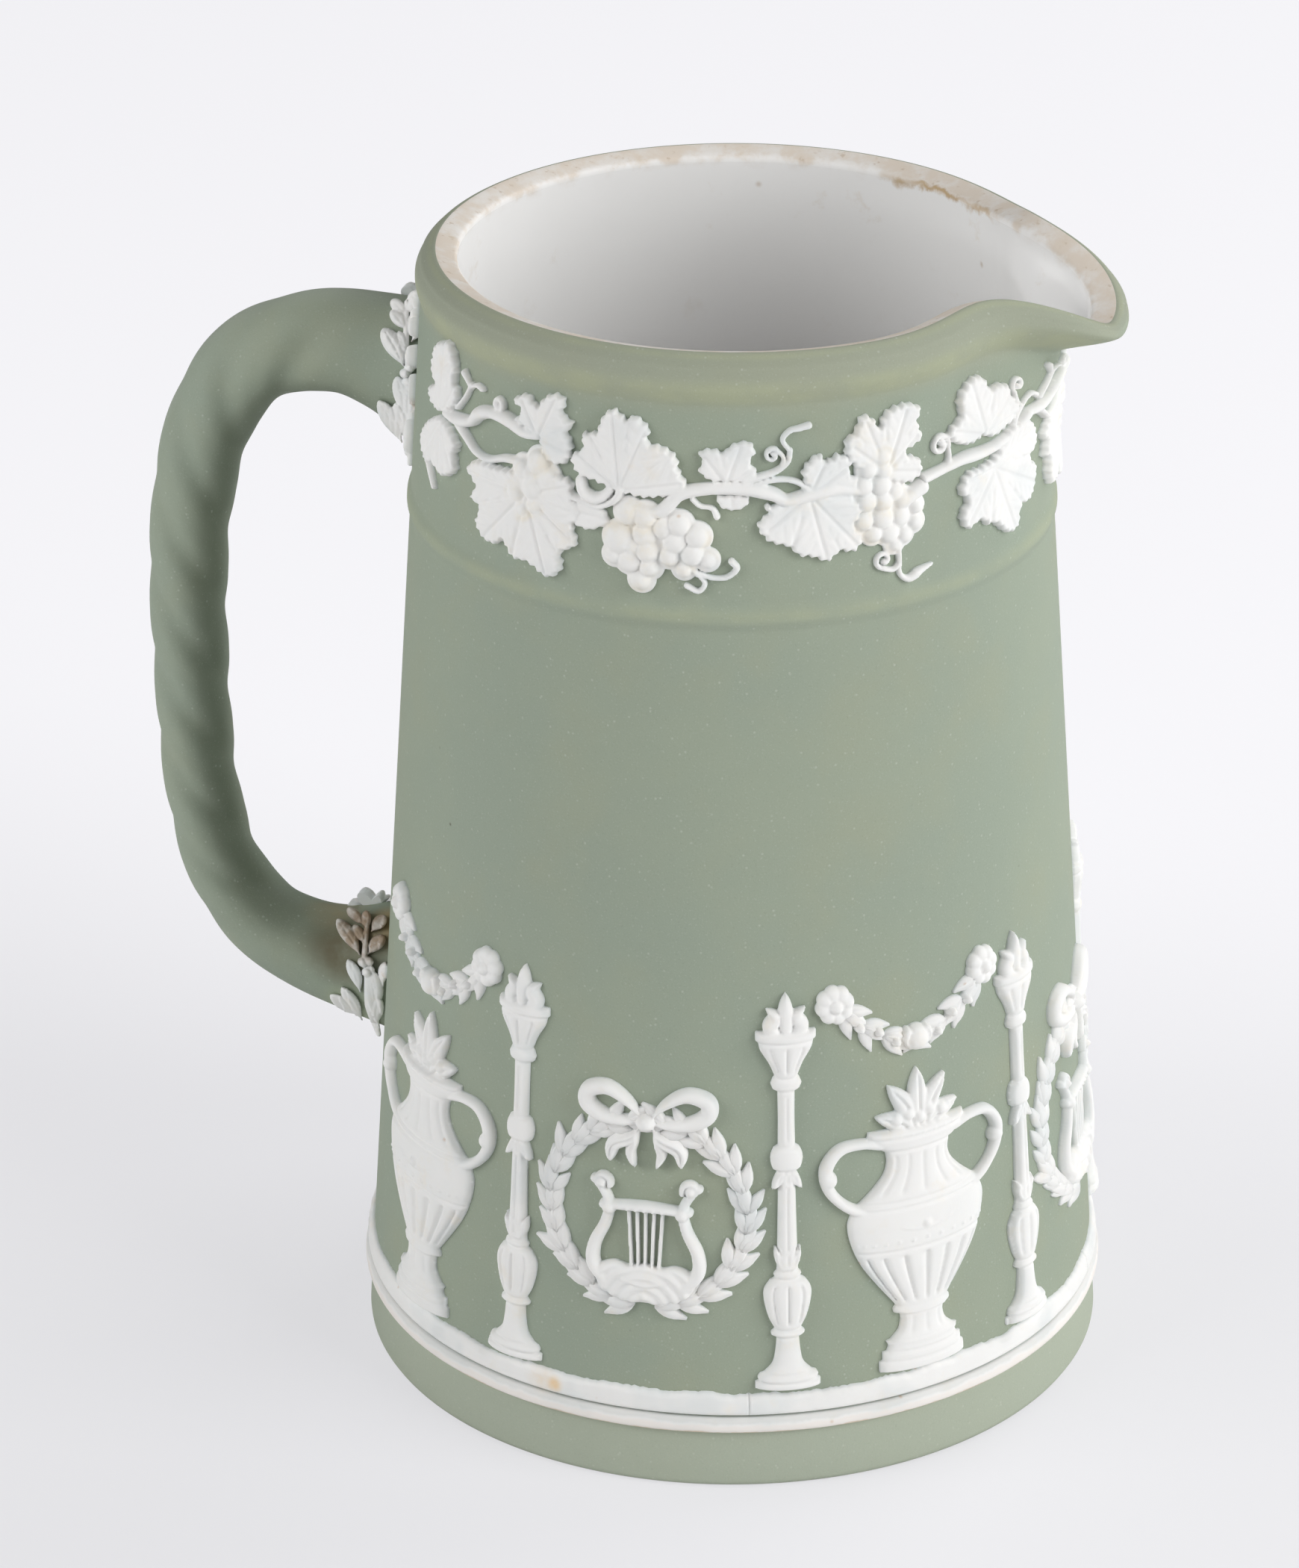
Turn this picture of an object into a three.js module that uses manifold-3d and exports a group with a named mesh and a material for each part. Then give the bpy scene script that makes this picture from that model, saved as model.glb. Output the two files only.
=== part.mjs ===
// A tapering stoneware jug with a pulled spout, a roped loop handle and white relief.
// Millimetres, +Z up, origin at the centre of the base. The spout points along +X
// and the handle stands on the -X side.

import * as THREE from 'three';
import { mergeVertices } from 'three/addons/utils/BufferGeometryUtils.js';
import Module from 'manifold-3d';

const wasm = await Module();
wasm.setup();

// Body
const JUG_HEIGHT = 165;
const BASE_RADIUS = 53.4;
const WALL_TAPER = 0.0691; // radius lost for each millimetre of height
const WALL_THICKNESS = 3.9;
const FLOOR_THICKNESS = 6;
const FLOOR_FILLET = 7;
const BASE_CHAMFER = 0.8;
const WALL_FACETS = 40;
const SPOUT_FINE_ANGLE = 0.42; // facets are halved this far each side of the spout

// Turned ring under the neck
const NECK_RING_BELOW_RIM = 36;
const NECK_RING_WIDTH = 2.3;
const NECK_RING_HEIGHT = 0.8;
const NECK_RING_SLOPE = 0.6;

// Rolled band at the rim
const RIM_BAND_WIDTH = 6.4;
const RIM_BAND_ROLL = 0.9;
const RIM_EDGE_INSET = 1.4;
const RIM_FACE_WIDTH = 3.2;
const RIM_FACE_DROP = 1.2;

// Pulled spout
const SPOUT_START_BELOW_RIM = 25;
const SPOUT_REACH = 11.7;
const SPOUT_HALF_ANGLE = 0.29;
const SPOUT_SHARPNESS = 2.84;
const SPOUT_DROP = 5.93;
const SPOUT_DROP_ANGLE = 0.23;
const SHOULDER_ANGLE = 0.34;
const SHOULDER_REACH = 1.06;
const SHOULDER_SPREAD = 0.8;
const SHOULDER_RISE = 2.1;
const SHOULDER_RISE_SPREAD = 0.24;

// Roped handle: distances of its centreline from the jug's axis and from the base
const HANDLE_REACH = 80.8;
const HANDLE_TOP_BELOW_RIM = 23.5;
const HANDLE_CROWN_BELOW_RIM = 18.9;
const HANDLE_SHOULDER_BELOW_RIM = 16;
const HANDLE_WAIST_BELOW_RIM = 68.4;
const HANDLE_LOWER_BEND = 67.8;
const HANDLE_LOWER_TURN = 44.4; // the curve's guide point before the lower joint
const HANDLE_FOOT_HEIGHT = 49.6;
const HANDLE_ROOT_SINK = 1.5; // how far the centreline starts inside the wall
const HANDLE_CROWN_SHIFT = -1.5; // from halfway between wall and reach to the crown's guide
const HANDLE_THICKNESS = 9.5; // where the handle is slimmest
const HANDLE_WIDTH = 12.4;
const HANDLE_TAPER_INSIDE = 1.5; // what the top adds towards the inside of the loop
const HANDLE_TAPER_OUTSIDE = 5.4;
const HANDLE_TAPER_LENGTH = 45;
const HANDLE_THROAT = 8.5; // the spread under the top joint
const HANDLE_THROAT_LENGTH = 5;
const HANDLE_FOOT_INSIDE = 4; // the spread of the lower joint, upwards
const HANDLE_FOOT_OUTSIDE = 9.2;
const HANDLE_SIDE_FLARE = 4.5;
const HANDLE_SPREAD_LENGTH = 12;
const ROPE_STRANDS = 3;
const ROPE_PITCH = 38;
const ROPE_START = 0.41; // turn of the strands at the top joint
const ROPE_GROOVE_DEPTH = 0.6;
const ROPE_FADE = 0.13; // share of the handle's length over which the rope fades out
const HANDLE_STEPS = 40;
const HANDLE_SIDES = 12;

// White band and ground strips near the foot
const BAND_HEIGHT_ABOVE_BASE = 9;
const BAND_WIDTH = 2.3;
const BAND_RELIEF = 1.1;
const RECESS_ABOVE_BAND = 0.4;
const GROUND_WIDTH = 3.6;
const GROUND_RELIEF = 0.9;
const GROUND_RIPPLE = 0.35;
const GROUND_STRIPS = 4;

// Relief seats
const SEAT_GAP = 0.3; // clay film between a sprig and the wall it sits on
const SINK = 1; // how far relief is modelled into the wall before it is cut back

// Vine sprigs round the neck. One mould is used three times, trimmed beside the handle
const VINE_BELOW_RIM = 20;
const VINE_BARE_BEFORE = 18.9; // from the handle's side to the vine's first stem
const VINE_BARE_AFTER = 8.8; // from the vine's last grapes to the handle's other side
const VINE_UNITS = 93; // length of the whole mould in the units of its drawing
const VINE_TRIMMED_START = 12; // where the first sprig starts in the drawing
const VINE_TRIMMED_END = 58.5; // where the last sprig ends in the drawing
const VINE_DROP_UNITS = 14.25; // from the vine's axis down to the neck ring in the drawing
const STEM_RADIUS = 1;
const TENDRIL_RADIUS = 0.65;
const GRAPE_RADIUS = 2.1;
const LEAF_RELIEF = 1.4;
const RELIEF_EDGE = 0.5; // how far the edge of a leaf stands off the wall

// Frieze
const FRIEZE_SLOTS = 7;
const SLOT_ANGLE = THREE.MathUtils.degToRad(44);
const FRIEZE_FOOT_GAP = 0.45;
const URN_HEIGHT = 37;
const URN_RADIUS = 11;
const URN_FLATNESS = 0.22;
const URN_LEAF_LENGTH = 9.5;
const URN_GRIP_RADIUS = 0.9;
const CANDELABRUM_HEIGHT = 54;
const CANDELABRUM_RADIUS = 4.4;
const CANDELABRUM_FLATNESS = 0.4;
const WREATH_RADIUS = 14;
const WREATH_TEETH = 12;
const WREATH_WIDTH = 6;
const WREATH_CENTRE = 26;
const LYRE_HEIGHT = 17.5;
const LYRE_HALF_WIDTH = 7.8;
const BOW_HALF_WIDTH = 9;
const ROSETTE_RADIUS = 3;
const RELIEF_SPACING = 0.6; // bare wall between two neighbouring sprigs
const FAN_SINK = 1.8; // how far a fan of leaves starts inside its cup
const FLAME_LENGTH = 7;
const FLAME_SPREAD = 0.45;
const FAN_WIDENING = 1.15;
const SWAG_SAG = 7;
const SWAG_ABOVE_URN = 2.3; // from the urn's leaves up to the swag's lowest leaf
const SWAG_TEETH = 6;
const SWAG_WIDTH = 6;

// Leaf sprays at the handle's joints
const SPRAY_LEAF_LENGTH = 6;
const SPRAY_LEAF_WIDTH = 2.6;
const SPRAY_STEM_RADIUS = 0.8;
const SPRAY_PAIR_SPACING = 4;
const SPRAY_TIE_GAP = 1.2; // from the tie to the foot of each spray
const TOP_SPRAY_OUT = 1.1; // how far outside the wall a top spray runs
const TOP_TIE_ABOVE_JOINT = 1.2;
const TOP_SPRAY_RISE = 6.5;
const TOP_SPRAY_FALL = 7.2;
const TOP_SPRAY_DROP = 3.6; // from the tie down to the first leaves of a top falling spray
const LOW_SPRAY_OUT = 2;
const LOW_TIE_BELOW_JOINT = 0.6;
const LOW_SPRAY_RISE = 5.4;
const LOW_SPRAY_FALL = 6.3;
const LOW_SPRAY_DROP = 4.8;
const SPRAY_LEAST_SIDE = 5.4; // where a leaf tip passes the handle's edge

const green = () => new THREE.MeshStandardMaterial({ color: 0x9da893, roughness: 0.85, metalness: 0 });
const white = () => new THREE.MeshStandardMaterial({ color: 0xe9e9e6, roughness: 0.8, metalness: 0 });

const wallRadius = (height) => BASE_RADIUS - WALL_TAPER * height;
const spoutStart = JUG_HEIGHT - SPOUT_START_BELOW_RIM;
const bandEdge = JUG_HEIGHT - RIM_BAND_WIDTH;
const ringTop = JUG_HEIGHT - NECK_RING_BELOW_RIM + NECK_RING_WIDTH / 2;
const ringBottom = ringTop - NECK_RING_WIDTH;

// The rim's shift outward and upward at an angle measured from the spout
function rimShift(angle) {
  const turn = Math.abs(Math.atan2(Math.sin(angle), Math.cos(angle)));
  const beak = SPOUT_REACH * Math.exp(-((turn / SPOUT_HALF_ANGLE) ** SPOUT_SHARPNESS));
  const shoulder = SHOULDER_REACH * Math.exp(-(((turn - SHOULDER_ANGLE) / SHOULDER_SPREAD) ** 2));
  const dip = SPOUT_DROP * Math.exp(-((turn / SPOUT_DROP_ANGLE) ** 2));
  const rise = SHOULDER_RISE * Math.exp(-(((turn - SHOULDER_ANGLE) / SHOULDER_RISE_SPREAD) ** 2));
  return { out: beak + shoulder, up: rise - dip };
}

// The wall follows the rim's shift more and more from the start of the spout upward
function onBody(angle, radius, height) {
  const climb = Math.max(0, (height - spoutStart) / (JUG_HEIGHT - spoutStart));
  const roll = THREE.MathUtils.smoothstep(climb, 0.7, 0.9);
  const follow = 0.45 * climb ** 1.4 + 0.55 * roll;
  const shift = rimShift(angle);
  const r = radius + shift.out * follow;
  return [r * Math.cos(angle), r * Math.sin(angle), height + shift.up * climb ** 1.7];
}

function wallAngles() {
  const step = (2 * Math.PI) / WALL_FACETS;
  const angles = [];
  for (let i = 0; i < WALL_FACETS; i += 1) {
    const angle = -Math.PI + i * step;
    angles.push(angle);
    if (Math.abs(angle + step / 2) < SPOUT_FINE_ANGLE) angles.push(angle + step / 2);
  }
  return angles;
}

function geometryOf(vertices, triangles) {
  const geometry = new THREE.BufferGeometry();
  geometry.setAttribute('position', new THREE.Float32BufferAttribute(vertices.flat(), 3));
  geometry.setIndex(triangles.flat());
  return geometry;
}

// Turns a profile that starts and ends on the axis
function turned(profile, angles) {
  const vertices = [];
  const triangles = [];
  const count = angles.length;
  const inner = profile.slice(1, -1);
  vertices.push([0, 0, profile[0][1]]);
  for (const [radius, height] of inner) {
    for (const angle of angles) vertices.push(onBody(angle, radius, height));
  }
  vertices.push([0, 0, profile[profile.length - 1][1]]);
  const at = (ring, i) => 1 + ring * count + (i % count);
  const last = vertices.length - 1;
  for (let i = 0; i < count; i += 1) {
    triangles.push([0, at(0, i + 1), at(0, i)]);
    for (let ring = 0; ring < inner.length - 1; ring += 1) {
      triangles.push([at(ring, i), at(ring, i + 1), at(ring + 1, i + 1)]);
      triangles.push([at(ring, i), at(ring + 1, i + 1), at(ring + 1, i)]);
    }
    triangles.push([at(inner.length - 1, i), at(inner.length - 1, i + 1), last]);
  }
  return geometryOf(vertices, triangles);
}

// Sweeps sections, each a list of points in the same order, into a closed solid
function lofted(sections, closedLoop = false) {
  const sides = sections[0].length;
  const vertices = sections.flat();
  const triangles = [];
  const rings = sections.length;
  const at = (ring, k) => (ring % rings) * sides + (k % sides);
  const spans = closedLoop ? rings : rings - 1;
  for (let ring = 0; ring < spans; ring += 1) {
    for (let k = 0; k < sides; k += 1) {
      triangles.push([at(ring, k), at(ring, k + 1), at(ring + 1, k + 1)]);
      triangles.push([at(ring, k), at(ring + 1, k + 1), at(ring + 1, k)]);
    }
  }
  if (!closedLoop) {
    for (let k = 1; k < sides - 1; k += 1) {
      triangles.push([at(0, 0), at(0, k + 1), at(0, k)]);
      triangles.push([at(rings - 1, 0), at(rings - 1, k), at(rings - 1, k + 1)]);
    }
  }
  return geometryOf(vertices, triangles);
}

function solidOf(geometry) {
  const bare = geometry.clone();
  bare.deleteAttribute('normal');
  bare.deleteAttribute('uv');
  const merged = mergeVertices(bare, 1e-4);
  const mesh = new wasm.Mesh({
    numProp: 3,
    vertProperties: new Float32Array(merged.attributes.position.array),
    triVerts: new Uint32Array(merged.index.array),
  });
  return new wasm.Manifold(mesh);
}

function meshOf(name, solid, material) {
  const { vertProperties, triVerts } = solid.getMesh();
  const geometry = new THREE.BufferGeometry();
  geometry.setAttribute('position', new THREE.Float32BufferAttribute(vertProperties, 3));
  geometry.setIndex(Array.from(triVerts));
  geometry.computeVertexNormals();
  const mesh = new THREE.Mesh(geometry, material);
  mesh.name = name;
  return mesh;
}

const joined = (solids) => solids.reduce((sum, solid) => sum.add(solid));

// The outside of the body, grown by a gap, from the base up to the rim's outer edge
function outsideProfile(gap) {
  const wall = (height, relief = 0) => [wallRadius(height) + relief + gap, height];
  const shoulderHeights = [0, 0.45].map((share) => spoutStart + share * (bandEdge - spoutStart));
  return [
    wall(BASE_CHAMFER),
    wall(ringBottom - NECK_RING_SLOPE - gap),
    wall(ringBottom - gap, NECK_RING_HEIGHT),
    wall(ringTop + gap, NECK_RING_HEIGHT),
    wall(ringTop + NECK_RING_SLOPE + gap),
    ...shoulderHeights.map((height) => wall(height)),
    wall(bandEdge - 0.55 * RIM_BAND_WIDTH),
    wall(bandEdge - 0.12 * RIM_BAND_WIDTH - gap),
    wall(bandEdge + 0.1 * RIM_BAND_WIDTH - gap, RIM_BAND_ROLL * 0.6),
    wall(bandEdge + 0.38 * RIM_BAND_WIDTH, RIM_BAND_ROLL),
    wall(bandEdge + 0.75 * RIM_BAND_WIDTH, RIM_BAND_ROLL * 0.3),
    [wallRadius(JUG_HEIGHT) - RIM_EDGE_INSET + gap, JUG_HEIGHT],
  ];
}

function jugBody() {
  const outside = outsideProfile(0);
  const edge = outside[outside.length - 1][0] - RIM_FACE_WIDTH;
  const inner = (height) => [wallRadius(height) - WALL_THICKNESS, height];
  const floorTop = FLOOR_THICKNESS + FLOOR_FILLET;
  const fillet = FLOOR_FILLET * 0.3;
  const profile = [
    [0, 0],
    [wallRadius(0) - BASE_CHAMFER, 0],
    ...outside,
    [edge, JUG_HEIGHT - RIM_FACE_DROP],
    inner(JUG_HEIGHT - RIM_FACE_DROP - 0.4 * RIM_BAND_WIDTH),
    inner(bandEdge),
    inner(bandEdge - 0.8 * RIM_BAND_WIDTH),
    inner(spoutStart),
    inner(floorTop),
    [inner(floorTop)[0] - fillet, FLOOR_THICKNESS + fillet],
    [inner(floorTop)[0] - FLOOR_FILLET, FLOOR_THICKNESS],
    [0, FLOOR_THICKNESS],
  ];
  return meshOf('jug_body', solidOf(turned(profile, wallAngles())), green());
}

// What every sprig and the handle are cut back by, so that they seat on the body
function bodySeat() {
  const outside = outsideProfile(SEAT_GAP);
  const top = outside[outside.length - 1];
  const profile = [[0, -SINK], [outside[0][0], -SINK], ...outside, [0, top[1]]];
  return solidOf(turned(profile, wallAngles()));
}

const seat = bodySeat();

// Handle

function handleCurve() {
  const rootRadius = wallRadius(JUG_HEIGHT - HANDLE_TOP_BELOW_RIM);
  const footRadius = wallRadius(HANDLE_FOOT_HEIGHT);
  const point = (reach, height) => new THREE.Vector3(-reach, 0, height);
  const waist = point(HANDLE_REACH, JUG_HEIGHT - HANDLE_WAIST_BELOW_RIM);
  const path = new THREE.CurvePath();
  path.add(new THREE.CubicBezierCurve3(
    point(rootRadius - HANDLE_ROOT_SINK, JUG_HEIGHT - HANDLE_TOP_BELOW_RIM),
    point((rootRadius + HANDLE_REACH) / 2 + HANDLE_CROWN_SHIFT, JUG_HEIGHT - HANDLE_CROWN_BELOW_RIM),
    point(HANDLE_REACH, JUG_HEIGHT - HANDLE_SHOULDER_BELOW_RIM),
    waist,
  ));
  path.add(new THREE.CubicBezierCurve3(
    waist,
    point(HANDLE_REACH, HANDLE_LOWER_BEND),
    point(HANDLE_REACH, HANDLE_LOWER_TURN),
    point(footRadius - HANDLE_ROOT_SINK, HANDLE_FOOT_HEIGHT),
  ));
  return path;
}

const handlePath = handleCurve();

// Half sizes of the handle at a share of its length: inwards, outwards and across the loop
function handleHalfSizes(share) {
  const fromTop = share * handlePath.getLength();
  const fromFoot = (1 - share) * handlePath.getLength();
  const taper = Math.exp(-fromTop / HANDLE_TAPER_LENGTH);
  const throat = Math.exp(-fromTop / HANDLE_THROAT_LENGTH);
  const top = Math.exp(-fromTop / HANDLE_SPREAD_LENGTH);
  const foot = Math.exp(-fromFoot / HANDLE_SPREAD_LENGTH);
  const least = HANDLE_THICKNESS / 2;
  return {
    inner: least + HANDLE_TAPER_INSIDE * taper + HANDLE_THROAT * throat + HANDLE_FOOT_INSIDE * foot,
    outer: least + HANDLE_TAPER_OUTSIDE * taper + HANDLE_FOOT_OUTSIDE * foot,
    wide: (HANDLE_WIDTH + HANDLE_SIDE_FLARE * (top + foot)) / 2,
  };
}

function handleSolid(gap) {
  const length = handlePath.getLength();
  const sections = [];
  for (let i = 0; i <= HANDLE_STEPS; i += 1) {
    const share = i / HANDLE_STEPS;
    const centre = handlePath.getPointAt(share);
    const along = handlePath.getTangentAt(share);
    const inward = new THREE.Vector3(0, -1, 0).cross(along).normalize();
    const { inner, outer, wide } = handleHalfSizes(share);
    const fadeIn = THREE.MathUtils.smoothstep(share, ROPE_FADE / 2, ROPE_FADE);
    const fadeOut = THREE.MathUtils.smoothstep(1 - share, ROPE_FADE / 2, ROPE_FADE);
    const phase = ROPE_START + (2 * Math.PI * share * length) / ROPE_PITCH;
    const section = [];
    for (let k = 0; k < HANDLE_SIDES; k += 1) {
      const angle = (2 * Math.PI * k) / HANDLE_SIDES;
      const lobe = Math.abs(Math.cos((ROPE_STRANDS / 2) * (angle + phase)));
      const groove = ROPE_GROOVE_DEPTH * fadeIn * fadeOut * (1 - lobe) ** 2;
      const thick = THREE.MathUtils.lerp(outer, inner, (1 + Math.cos(angle)) / 2);
      const point = centre.clone();
      point.addScaledVector(inward, (thick + gap - groove) * Math.cos(angle));
      point.y -= (wide + gap - groove) * Math.sin(angle);
      if (i === 0 || i === HANDLE_STEPS) {
        // the ends follow the wall, a little inside its face, so that they meet it all round
        const inWall = wallRadius(point.z) - HANDLE_ROOT_SINK;
        point.x = -Math.sqrt(inWall ** 2 - point.y ** 2);
      }
      section.push(point.toArray());
    }
    sections.push(section);
  }
  return solidOf(lofted(sections));
}

function handle() {
  return meshOf('handle', handleSolid(0).subtract(seat), green());
}

// Relief is drawn flat, as seen from outside: x to the right, z up, -y out of the wall.
// onWall bends a drawn geometry round the body at an angle.
function onWall(geometry, centreAngle, gauge) {
  const position = geometry.attributes.position;
  for (let i = 0; i < position.count; i += 1) {
    const height = position.getZ(i);
    const angle = centreAngle + position.getX(i) / gauge;
    const place = onBody(angle, wallRadius(height) - position.getY(i), height);
    position.setXYZ(i, ...place);
  }
  return solidOf(geometry);
}

function stem(points, radius, steps = points.length) {
  const curve = new THREE.CatmullRomCurve3(points.map(([x, z]) => new THREE.Vector3(x, 0, z)));
  const sections = [];
  for (let i = 0; i <= steps; i += 1) {
    const centre = curve.getPointAt(i / steps);
    const along = curve.getTangentAt(i / steps);
    const place = (across, depth) => [centre.x + along.z * across, depth, centre.z - along.x * across];
    sections.push([place(-1.25 * radius, 0), place(0, -1.5 * radius), place(1.25 * radius, 0)]);
  }
  return lofted(sections);
}

// A slender pointed leaf from its foot, at an angle counted from the right
function lensLeaf(x, z, angle, length, width, relief = LEAF_RELIEF) {
  const geometry = new THREE.OctahedronGeometry(1, 0);
  geometry.scale(length / 2, relief, width / 2);
  geometry.translate(length / 2, 0, 0);
  geometry.rotateY(-angle);
  return geometry.translate(x, -SEAT_GAP, z);
}

// A lobed vine leaf drawn from the foot of its midrib
const VINE_LEAF_LOBES = [[0, 1], [31, 0.55], [62, 0.88], [93, 0.5], [128, 0.62], [180, 0.2]];

function vineLeaf(x, z, angle, size) {
  const otherSide = VINE_LEAF_LOBES.slice(1, -1).reverse().map(([turn, reach]) => [-turn, reach]);
  const outline = [...VINE_LEAF_LOBES, ...otherSide].map(([turn, reach]) => {
    const direction = angle + THREE.MathUtils.degToRad(turn);
    return [x + size * reach * Math.cos(direction), z + size * reach * Math.sin(direction)];
  });
  const count = outline.length;
  const vertices = [
    ...outline.map(([px, pz]) => [px, -RELIEF_EDGE, pz]),
    ...outline.map(([px, pz]) => [px, SINK, pz]),
    [x, -LEAF_RELIEF, z],
    [x, SINK, z],
  ];
  const triangles = [];
  for (let i = 0; i < count; i += 1) {
    const next = (i + 1) % count;
    triangles.push([i, next, 2 * count]);
    triangles.push([count + next, count + i, 2 * count + 1]);
    triangles.push([i, count + i, count + next], [i, count + next, next]);
  }
  return geometryOf(vertices, triangles);
}

const grape = (x, z) => new THREE.IcosahedronGeometry(GRAPE_RADIUS, 0).translate(x, -GRAPE_RADIUS * 0.35, z);

// Grapes in rows that narrow to the tip, hanging from a point
function grapeBunch(x, z, rows, lean = 0) {
  const grapes = [];
  const pitch = GRAPE_RADIUS * 1.5;
  rows.forEach((count, row) => {
    for (let i = 0; i < count; i += 1) {
      grapes.push(grape(x + lean * row + (i - (count - 1) / 2) * pitch, z - row * pitch * 0.9));
    }
  });
  return grapes;
}

const vineHeight = JUG_HEIGHT - VINE_BELOW_RIM;
const vineGauge = wallRadius(vineHeight);
const vineStart = -Math.PI + (HANDLE_WIDTH / 2 + VINE_BARE_BEFORE) / vineGauge;
const vineEnd = Math.PI - (HANDLE_WIDTH / 2 + VINE_BARE_AFTER) / vineGauge;
const vineRowUnits = 2 * VINE_UNITS - VINE_TRIMMED_START + VINE_TRIMMED_END;
const vineAlong = ((vineEnd - vineStart) * vineGauge) / vineRowUnits;
const vineUp = (vineHeight - ringTop - NECK_RING_SLOPE) / VINE_DROP_UNITS;

// Everything on the vine's mould, drawn in its units: places along it and above its axis
function vineElements() {
  const degrees = THREE.MathUtils.degToRad;
  const leaves = [
    [12, 2, 82, 9.5], [15, 1.5, -96, 13], [39.5, 6.5, 62, 7.5], [36.5, 1.5, -70, 15.5],
    [48.5, 0, -135, 6.5], [52.5, 0, 98, 12.5], [66, 2.5, 95, 6.5], [76, 2.8, -78, 11], [87, 1.5, 96, 10.5],
  ];
  const bunches = [
    [38, 2.5, [1, 2], 0.2], [54.5, -2, [1, 2, 1], 0.4],
    [60.5, -2.5, [1, 2], 0.5], [88, 0.2, [1, 2, 1], -0.2],
  ];
  const stems = [
    [[0, 0], [8, 1.2], [13.5, 1.7]],
    [[12, 1.5], [16, 1.8], [21, 2.4], [28, 0.8], [37, 1.6], [46, 0.8], [55, -1.4]],
    [[55, -1.4], [65, 2.2], [71, 2.4], [79, 1.4], [87, 0.2], [91.5, 0.4]],
    [[20, 2], [31, 6.3], [40, 6]],
  ];
  const tendrils = [
    [[3, 0.5], [2.2, 4], [4.6, 5.6], [5.4, 3.6]],
    [[21, 2.5], [23.5, 7.5], [27.5, 11.5]],
    [[61.5, -4], [62.5, -11], [67, -12], [68.6, -9.2], [66.6, -8.4]],
    [[66, 2.4], [71.5, 6.6], [73, 9.6], [77.5, 10.8]],
    [[88, -4], [88.6, -12], [92, -12.6], [93.6, -10.4]],
  ];
  const elements = [];
  for (const [x, z, angle, size] of leaves) {
    const drawn = vineLeaf(x, z, degrees(angle), size).scale(vineAlong, 1, vineUp);
    elements.push({ start: x, end: x + 0.88 * size, geometry: drawn });
  }
  for (const [x, z, rows, lean] of bunches) {
    for (const drawn of grapeBunch(x * vineAlong, z * vineUp, rows, lean)) {
      elements.push({ start: x, end: x + 4, geometry: drawn });
    }
  }
  const lines = [...stems.map((points) => [points, STEM_RADIUS])];
  lines.push(...tendrils.map((points) => [points, TENDRIL_RADIUS]));
  for (const [points, radius] of lines) {
    const drawn = stem(points.map(([x, z]) => [x * vineAlong, z * vineUp]), radius);
    elements.push({ start: points[0][0], end: points[points.length - 1][0], geometry: drawn });
  }
  return elements;
}

function vineSprig(index, startAngle, from, to) {
  const pieces = vineElements().filter(({ start, end }) => start >= from && end <= to);
  const solids = pieces.map(({ geometry }) =>
    onWall(geometry.translate(-from * vineAlong, 0, vineHeight), startAngle, vineGauge));
  return meshOf(`vine_sprig_${index}`, joined(solids).subtract(seat), white());
}

// Three sprigs: the first lacks its start, the last its end, where the handle stands
function vines() {
  const secondStart = vineStart + ((VINE_UNITS - VINE_TRIMMED_START) * vineAlong) / vineGauge;
  const thirdStart = secondStart + (VINE_UNITS * vineAlong) / vineGauge;
  return [
    vineSprig(1, vineStart, VINE_TRIMMED_START, Infinity),
    vineSprig(2, secondStart, 0, Infinity),
    vineSprig(3, thirdStart, 0, VINE_TRIMMED_END),
  ];
}

// White band and ground strips

const groundBottom = BAND_HEIGHT_ABOVE_BASE + BAND_WIDTH + RECESS_ABOVE_BAND;
const groundTop = groundBottom + GROUND_WIDTH;

function baseBand() {
  const bottom = BAND_HEIGHT_ABOVE_BASE;
  const top = bottom + BAND_WIDTH;
  const crest = bottom + 0.26 * BAND_WIDTH;
  const profile = [[SEAT_GAP, bottom], [SEAT_GAP, top], [0.7 * BAND_RELIEF, top], [BAND_RELIEF, crest]];
  const sections = wallAngles().map((angle) =>
    profile.map(([relief, height]) => onBody(angle, wallRadius(height) + relief, height)));
  return meshOf('base_band', solidOf(lofted(sections, true)), white());
}

function groundStrip(index) {
  const angles = wallAngles();
  const step = angles.length / GROUND_STRIPS;
  const start = Math.round(index * step);
  const stop = Math.round((index + 1) * step);
  const sections = [];
  for (let i = start; i <= stop; i += 1) {
    const angle = angles[i % angles.length];
    const trim = i === start ? SEAT_GAP / BASE_RADIUS : 0;
    // two waves, 7 and 17 to the round, give the strip its uneven upper edge
    const ripple = (GROUND_RIPPLE * (Math.sin(7 * angle) + 0.6 * Math.sin(17 * angle + 1))) / 1.6;
    const top = groundTop - GROUND_RIPPLE + ripple;
    const crest = groundBottom + 0.28 * GROUND_WIDTH;
    const lip = (SEAT_GAP + GROUND_RELIEF) / 2;
    const profile = [[-SINK, groundBottom], [-SINK, top], [lip, top], [GROUND_RELIEF, crest]];
    profile.push([GROUND_RELIEF, groundBottom]);
    const place = ([relief, height]) => onBody(angle + trim, wallRadius(height) + relief, height);
    sections.push(profile.map(place));
  }
  return meshOf(`ground_strip_${index + 1}`, solidOf(lofted(sections)).subtract(seat), white());
}

// Frieze motifs, each drawn about its own centre line with its foot at height 0

const friezeFoot = groundTop + FRIEZE_FOOT_GAP;
const friezeGauge = wallRadius(friezeFoot + WREATH_CENTRE);
const slotHalfWidth = (friezeGauge * SLOT_ANGLE) / 2;
const flameHalfWidth = FLAME_LENGTH * Math.sin(FAN_WIDENING * FLAME_SPREAD);
const swagHalfSpan = slotHalfWidth - flameHalfWidth - ROSETTE_RADIUS - RELIEF_SPACING;

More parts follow.
